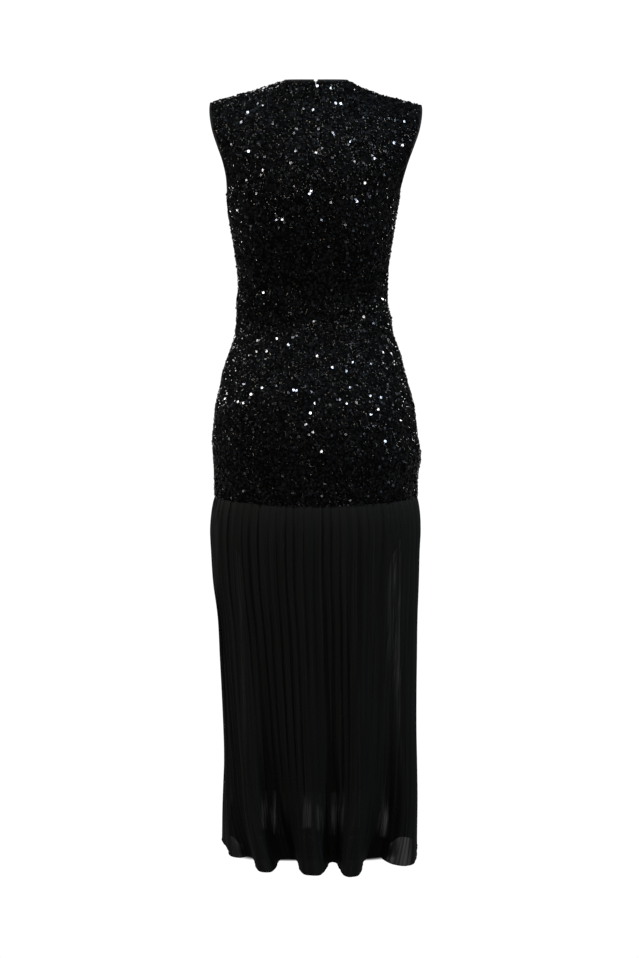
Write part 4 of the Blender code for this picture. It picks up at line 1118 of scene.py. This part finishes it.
for f, rows in lining.items():
    outer, inner = (np.array([row[k] for row in rows]) for k in (0, 1))
    piece = shell("lining_slip_" + f, outer, inner, cloth_map(outer), jersey)
    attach(piece, "dress")
    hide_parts("lining_" + f)
    inward = unit((inner - outer)[-LINING_HEM_ROWS:])
    turned = inner[-LINING_HEM_ROWS:] + inward * HEM_GAP
    lower = turned + inward * HEM_WALL
    hem = shell("lining_hem_" + f, turned, lower, cloth_map(turned), jersey)
    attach(hem, "dress")
    line = outer[-LINING_HEM_ROWS] - inward[0] * STITCH_OFF_CLOTH
    name = "lining_hem_stitches_" + f
    sewn = bars(name, [(line, False)], "lining_cloth", Seed=6, Finish=thread, **STITCH)

# --- Pleated skirt ----------------------------------------------------------------------------
# Sheer black chiffon in narrow knife pleats, sixty-four round the hips and so sixty-four flanks
# on each face, pressed in and sewn into the hip seam. It falls straight and opens into soft
# flutes at a narrow rolled hem.
FLANKS = 64
FLANK_WIDTH = 13.0
POINTS_A_FLANK = 5
PLEAT_DEPTH = 5.6
PLEAT_LAP = 8.0
SIDE_PRESSED = (0.6, 4.0)
LEFT_BACK_SOFTER = (0.42, (5.0, 11.0, 16.0, 34.0))
PLEAT_AT_SEAM = 2.4
RIPPLE = 0.45
PLEAT_AT_HEM = 0.2
TUCK = 1.8
SKIRT_SQUARE = 2.25
PLEAT_SHARPNESS = 0.985
SEAM_REACH, OPENING_POWER = 54.0, 0.7
TUCK_REACH = 7.0
EASED_OVER, EASING_POWER = (0.3, 0.9), 1.5
FRINGE = 2
PARTED_FLAT, PARTED_FULLY = 0.85, 0.4
LAP_IN_FLUTES = 0.25
BEND_SPAN = 8
BEND_ROOM = 0.62
LEAST_BEND = 1e-3
LEAST_DEPTH = 1.5
HEM_ROLL = 0.7
SEAM_ROLL = (1.4, 0.4)
HEM_STEPS = 1200
SKIRT_LEVELS = ((-691.3, -760.0, 15), (-768.0, -1335.0, 60))

# Slow waves round and down the skirt, so that no two pleats are the same: how much, how fast
# round and where it starts, and the drop in millimetres over which it changes. The drift of
# each pair of flanks is one more such wave, the same all the way down.
WAVES = {
    "drift": ((0.20, 1.7, 0.9, 380.0), (0.16, 0.63, 0.0, 210.0)),
    "depth": ((0.12, 0.83, 1.3, math.inf), (0.12, 2.3, 0.0, 170.0)),
    "ripple drift": ((0.3, 0.9, 0.0, 90.0),),
    "ripple": ((0.8, 1.3, 0.0, 150.0),),
}
PAIR_DRIFT = (0.12, 2.9, 1.1)
SHALLOWER = 0.14
SKIRT = table(
    "name z left right back front flutes",
    ("seam", -691.3, 173.0, 173.0, 117.5, 96.5, 0.0),
    ("under seam", -703.0, 175.5, 175.0, 119.5, 98.5, 0.0),
    ("swell", -721.0, 178.5, 177.5, 122.0, 101.5, 0.0),
    ("fullest", -748.0, 181.0, 179.0, 123.0, 103.5, 0.0),
    ("upper thigh", -790.0, 180.0, 177.5, 121.5, 104.0, 0.01),
    ("thigh", -840.0, 177.5, 176.5, 119.0, 104.0, 0.03),
    ("lower thigh", -905.0, 170.5, 174.5, 116.0, 104.0, 0.07),
    ("knee", -975.0, 168.0, 174.0, 113.0, 104.0, 0.13),
    ("below knee", -1045.0, 165.5, 173.5, 111.0, 104.0, 0.20),
    ("calf", -1110.0, 163.5, 174.0, 109.5, 104.0, 0.26),
    ("low calf", -1170.0, 163.0, 176.0, 108.0, 104.0, 0.36),
    ("ankle", -1228.0, 166.5, 178.0, 107.0, 104.0, 0.49),
    ("above hem", -1283.0, 169.5, 178.5, 106.0, 104.0, 0.71),
    ("hem", -1335.0, 170.0, 178.5, 106.0, 104.0, 1.0),
)
HEM = {
    "back": (
        (155.0, -25.0), (151.0, -2.0), (134.0, 9.0), (117.0, 3.0), (107.0, 26.0), (103.5, 58.0),
        (94.0, 78.0), (77.0, 78.0), (69.0, 56.0), (65.0, 26.0), (55.0, 9.0), (40.0, 10.0),
        (31.5, 34.0), (28.5, 66.0), (19.0, 91.0), (-6.0, 94.0), (-17.0, 66.0), (-24.0, 34.0),
        (-34.0, 34.0), (-41.0, 66.0), (-47.0, 94.0), (-60.0, 103.0), (-74.0, 92.0), (-79.5, 62.0),
        (-83.0, 28.0), (-94.0, 6.0), (-110.0, 3.0), (-122.0, 27.0), (-138.0, 45.0),
        (-156.0, 49.0), (-169.0, 39.0), (-176.0, 6.0), (-178.0, -25.0),
    ),
    "front": (
        (-178.0, -25.0), (-180.0, -62.0), (-170.0, -94.0), (-150.0, -99.0), (-134.0, -70.0),
        (-119.0, -43.0), (-103.0, -52.0), (-93.0, -86.0), (-77.0, -107.0), (-58.0, -98.0),
        (-46.0, -62.0), (-32.0, -40.0), (-15.0, -49.0), (-5.0, -84.0), (11.0, -106.0),
        (30.0, -97.0), (41.0, -62.0), (54.0, -38.0), (72.0, -45.0), (84.0, -81.0), (99.0, -103.0),
        (117.0, -90.0), (126.0, -66.0), (138.0, -68.0), (151.0, -103.0), (168.0, -108.0),
        (169.0, -78.0), (160.0, -48.0), (155.0, -25.0),
    ),
}

# Where the pleats are parted and the cloth lies smooth, so that more light comes through: place
# across and down in millimetres, half width, half height, tilt (across per down) and how much.
PARTED = table(
    "name face x z wide high tilt much",
    ("right strip", "both", -127.5, -880.0, 4.0, 115.0, 0.00, 0.68),
    ("right strip, outer", "both", -138.5, -890.0, 3.0, 175.0, 0.01, 0.77),
    ("right strip, edge", "both", -147.0, -930.0, 2.1, 195.0, 0.00, 0.60),
    ("left strip", "both", 124.0, -990.0, 3.2, 150.0, 0.01, 0.50),
    ("left strip, outer", "both", 131.0, -830.0, 4.0, 95.0, 0.02, 0.38),
    ("left edge", "both", 172.0, -790.0, 6.0, 70.0, 0.00, 0.90),
    ("middle flute", "back", 16.0, -1230.0, 9.0, 34.0, 0.00, 0.44),
    ("middle flute", "front", 17.0, -1300.0, 9.0, 36.0, 0.00, 0.44),
    ("middle flute, right", "back", -8.0, -1235.0, 9.0, 32.0, 0.00, 0.75),
    ("middle flute, right", "front", -8.5, -1305.0, 9.0, 34.0, 0.00, 1.0),
    ("right of middle", "back", -31.0, -1230.0, 5.0, 34.0, 0.00, 0.62),
    ("right of middle", "front", -33.0, -1300.0, 5.5, 36.0, 0.00, 0.62),
    ("right of middle, outer", "back", -43.0, -1232.0, 6.5, 34.0, 0.00, 1.0),
    ("right of middle, outer", "front", -46.0, -1302.0, 7.0, 36.0, 0.00, 0.70),
    ("left flute", "back", 74.0, -1243.0, 7.0, 42.0, 0.00, 1.0),
    ("left flute", "front", 78.0, -1308.0, 8.0, 40.0, 0.00, 1.0),
    ("left flute, outer", "back", 87.0, -1236.0, 7.0, 38.0, 0.00, 0.75),
    ("left flute, outer", "front", 92.0, -1304.0, 7.0, 40.0, 0.00, 0.75),
    ("right flute", "back", -104.0, -1240.0, 6.0, 46.0, 0.03, 0.66),
    ("right flute", "front", -110.0, -1303.0, 7.0, 44.0, 0.03, 0.66),
    ("right flute, outer", "back", -118.0, -1254.0, 7.0, 48.0, 0.06, 0.78),
    ("right flute, outer", "front", -126.0, -1306.0, 7.5, 40.0, 0.00, 0.78),
    ("right corner, inner", "back", -127.0, -1300.0, 7.0, 34.0, 0.00, 0.40),
    ("left edge, low", "both", 151.0, -1250.0, 4.0, 14.0, 0.00, 0.90),
)
BETWEEN_LAYERS = (0.07, -1205.0, 30.0)
THREAD_GAPS = (0.035, 0.30)
LEAST_GAPS = 0.002
SLANTED_MOST = 0.15
TURNED_HEM = 12.0
TURNED_CLOSED = -0.3
CREST_LAP = 24.0
CREST_FROM = (35.0, 25.0)
TURNED_FROM, TURNED_TO = -119.0, 105.0


def parted(x, y, z, face):
    """How much the pleats of a face are parted at each place; less than nothing on the hem."""
    inside = (x > TURNED_FROM) & (x < TURNED_TO)
    base, below, over = BETWEEN_LAYERS
    most = base * np.clip((below - z) / over, 0, 1) * inside
    for _, which, at, level, wide, high, tilt, much in zip(*PARTED.values()):
        if which in (face, "both"):
            down = (z - level) / high
            across = (x - at - tilt * (z - level)) / wide
            most = np.maximum(most, much * np.exp(-(across**4) - down**4))
    turned = TURNED_HEM + CREST_LAP * np.clip((y - CREST_FROM[0]) / CREST_FROM[1], 0, 1)
    return np.where((z < SKIRT["z"][-1] + turned) & inside, TURNED_CLOSED, most)


def spline(points, count):
    """Points evenly spaced by length along a smooth curve through the given ones."""
    points = np.array(points)
    knots = np.arange(len(points), dtype=float)
    at = np.linspace(0, knots[-1], HEM_STEPS)
    return by_length(np.array([smooth(t, knots, points) for t in at]), count)


def waves(name, flank, z):
    """The sum of the named waves at each flank of the pleats, at one height."""
    return sum(
        much * np.sin(fast * flank + start + z / drop) for much, fast, start, drop in WAVES[name]
    )


# Sheer chiffon: fine crepe threads that close up where the cloth is seen at a slant, with the
# faint uneven streaks of a crinkled yarn down the pleats.
chiffon, tree, shader = cloth_material(
    "black chiffon", (0.0018, 0.0019, 0.0019), (0.0041, 0.0043, 0.0042),
    roughness=0.7, threads=(11000.0, 11000.0), slub=0.5, bump=0.25, relief=0.00005,
)
threads = shader.inputs["Normal"].links[0].from_node
colour = shader.inputs["Base Color"].links[0].from_node
place = next(node for node in tree.nodes if node.type == "UVMAP")
drawn = add(tree, "ShaderNodeMapping", Vector=place, Scale=(1.0, 0.012, 1.0))
crinkle = add(tree, "ShaderNodeTexNoise", Vector=drawn, Scale=330.0, Detail=3.0)
hue = ramp(
    tree, crinkle,
    (0.36, (0.62, 0.66, 0.72)),
    (0.46, (0.98, 0.93, 0.84)),
    (0.55, (0.96, 1.06, 1.08)),
    (0.66, (1.42, 1.46, 1.52)),
)
dyed = add(
    tree, "ShaderNodeMix", data_type="RGBA", blend_type="MULTIPLY", Factor=1.0, A=colour, B=hue
)
creased = add(tree, "ShaderNodeBump", Strength=0.5, Distance=0.0008, Height=crinkle)
feed(tree, threads, Normal=creased)
smooth_cloth = add(tree, "ShaderNodeAttribute", attribute_name="parted").outputs["Fac"]
open_share = add(
    tree, "ShaderNodeMapRange", clamp=False,
    Value=smooth_cloth, To_Min=THREAD_GAPS[0], To_Max=THREAD_GAPS[1],
)
streaks = add(
    tree, "ShaderNodeMapRange",
    Value=crinkle, From_Min=0.42, From_Max=0.58, To_Min=0.50, To_Max=1.12,
)
gaps = calc(tree, "MAXIMUM", calc(tree, "MULTIPLY", open_share, streaks), LEAST_GAPS)
facing = add(tree, "ShaderNodeLayerWeight", Blend=0.5).outputs["Facing"]
straight = calc(tree, "MAXIMUM", calc(tree, "SUBTRACT", 1.0, facing), SLANTED_MOST)
through = calc(tree, "POWER", gaps, calc(tree, "DIVIDE", 1.0, straight))
closed = calc(tree, "SUBTRACT", 1.0, through)
feed(tree, shader, Base_Color=dyed, Alpha=closed, Specular_IOR_Level=0.05)
rolled, _, _ = new_material(
    "black chiffon rolled edge", Base_Color=(0.0030, 0.0032, 0.0034, 1), Roughness=0.75,
    Specular_IOR_Level=0.1,
)

count = FLANKS * POINTS_A_FLANK + 1
flank = np.arange(count) / POINTS_A_FLANK
from_side = np.minimum(flank, FLANKS - flank)
fringe = np.clip(from_side / FRINGE, 0, 1)
pressed = 1 - SIDE_PRESSED[0] * np.exp(-((from_side / SIDE_PRESSED[1]) ** 2))
softer = 1 - LEFT_BACK_SOFTER[0] * np.interp(flank, LEFT_BACK_SOFTER[1], (0.0, 1.0, 1.0, 0.0))
much, fast, start = PAIR_DRIFT
pair_drift = much * np.sin(fast * np.round(flank / 2) + start)
hems = {face: spline(points, count) for face, points in HEM.items()}
levels = np.concatenate([np.linspace(*span) for span in SKIRT_LEVELS])
skirt = {"back": [], "front": []}
for z in levels:
    rings = {}
    flutes = np.clip(between(SKIRT, z, "flutes"), 0, 1)
    for f, hem in hems.items():
        size = [between(SKIRT, z, name) for name in ("left", "right", f)]
        oval = half_oval(*size, f, SKIRT_SQUARE, count)
        rings[f] = by_length(oval + (hem - oval) * flutes, count)
    ways = ring_ways(rings["back"], rings["front"])

    # The pleats' own wave, the same on both faces.
    opened = min(1.0, (SEAM_Z - z) / SEAM_REACH) ** OPENING_POWER
    drift = waves("drift", flank, z) + pair_drift * opened
    wave = np.sin(math.pi * (flank + drift * fringe - 0.5))
    fold = (np.arcsin(PLEAT_SHARPNESS * wave) / math.asin(PLEAT_SHARPNESS) - 1) / 2
    uneven = 1 - (SHALLOWER + waves("depth", flank, z)) * fringe
    tucked = TUCK * math.exp((z - SEAM_Z) / TUCK_REACH)
    low, high = EASED_OVER
    fluted = np.clip((flutes - low) / (high - low), 0, 1) ** EASING_POWER
    eased = pressed * (1 - (1 - PLEAT_AT_HEM) * fluted)
    full = PLEAT_AT_SEAM + (PLEAT_DEPTH - PLEAT_AT_SEAM) * opened
    ripple = np.sin(2 * math.pi * (flank + waves("ripple drift", flank, z)))
    ripple = RIPPLE * ripple * opened * fringe * (1 + waves("ripple", flank, z)) * eased

    # Each face is flatter where it's parted, and shallower in a tight bend.
    for f, ring in rings.items():
        tangent, normal, bend = ways[f]
        flat = 1 - PARTED_FLAT * np.clip(parted(*ring.T, z, f) / PARTED_FULLY, 0, 1)
        if f == "back":
            flat = flat * softer
        even = np.ones(2 * BEND_SPAN + 1) / (2 * BEND_SPAN + 1)
        bend = np.convolve(np.pad(bend, BEND_SPAN, mode="edge"), even, "valid")
        room = np.maximum(BEND_ROOM / np.maximum(bend, LEAST_BEND) - 1.0, LEAST_DEPTH)
        deep = np.minimum(full, room) * uneven * eased * flat
        in_flutes = 1 - (1 - LAP_IN_FLUTES) * flutes
        lap = PLEAT_LAP * uneven * fringe * in_flutes * flat * pressed
        out = deep * fold - tucked + ripple * flat
        points = ring + normal * out[:, None] + tangent * (lap * fold)[:, None]
        skirt[f].append(np.hstack([points, np.full((count, 1), z)]))
for f, rows in skirt.items():
    grid = np.array(rows)
    along = np.tile(np.linspace(0, FLANKS * FLANK_WIDTH, count), (len(grid), 1))
    down = np.tile((grid[0, 0, 2] - grid[:, :1, 2]), (1, count))
    cloth = np.stack([along, -down], axis=2) * MM
    points, faces = grid.reshape(-1, 3) * MM, grid_faces(*grid.shape[:2])
    piece = new_piece("skirt_chiffon_" + f, points, faces, cloth.reshape(-1, 2), chiffon)
    marks = piece.data.attributes.new("parted", "FLOAT", "POINT")
    marks.data.foreach_set("value", parted(*grid.T, f).T.ravel())
    flip_outward(piece.data)
    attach(piece, "dress")
    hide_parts("skirt_" + f)
    up = np.tile([0.0, 0.0, 1.0], (count, 1))
    rings = roll(grid[-1] + (0, 0, HEM_ROLL), up, (HEM_ROLL, HEM_ROLL))
    hem = tube("skirt_hem_" + f, rings, False, rolled)
    side = grid[:, 0]
    outward = np.tile([1.0 if f == "back" else -1.0, 0.0, 0.0], (len(side), 1))
    seam = tube("skirt_seam_" + f, roll(side, outward, SEAM_ROLL), False, rolled)
    for part in (hem, seam):
        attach(part, "dress")

# --- Hip seam inside --------------------------------------------------------------------------
# The raw edges of the bodice, lining and skirt, sewn together, turned up behind the sequinned
# cloth and overlocked. Only someone who looks in from below or above sees it.
ALLOWANCE_Z = (-692.0, -681.5)
ALLOWANCE_IN = 5.0
ALLOWANCE_POINTS = 97
ALLOWANCE_WALL = 0.9 / 130.0
HIP_HALF_WIDTH = 172.5
HIP_DEPTH = {"back": 117.0, "front": 96.0}
OVERLOCK = {"Pitch": 0.0016, "Bar": (0.0005, 0.0034, 0.0005), "Uneven": 0.15}
for f, depth in HIP_DEPTH.items():
    half, depth = HIP_HALF_WIDTH - ALLOWANCE_IN, depth - ALLOWANCE_IN
    oval = half_oval(half, half, depth, f, SKIRT_SQUARE, ALLOWANCE_POINTS)
    outer = np.array(
        [np.hstack([oval, np.full((len(oval), 1), z)]) for z in np.linspace(*ALLOWANCE_Z, 4)]
    )
    inner = outer * (1 - ALLOWANCE_WALL, 1 - ALLOWANCE_WALL, 1)
    piece = shell("hip_seam_allowance_" + f, outer, inner, cloth_map(outer), jersey)
    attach(piece, "dress")
    top = outer[-1] * (1 - ALLOWANCE_WALL / 2, 1 - ALLOWANCE_WALL / 2, 1)
    name = "hip_seam_overlock_" + f
    bars(name, [(top, False)], "lining_cloth", Seed=8, Finish=thread, **OVERLOCK)
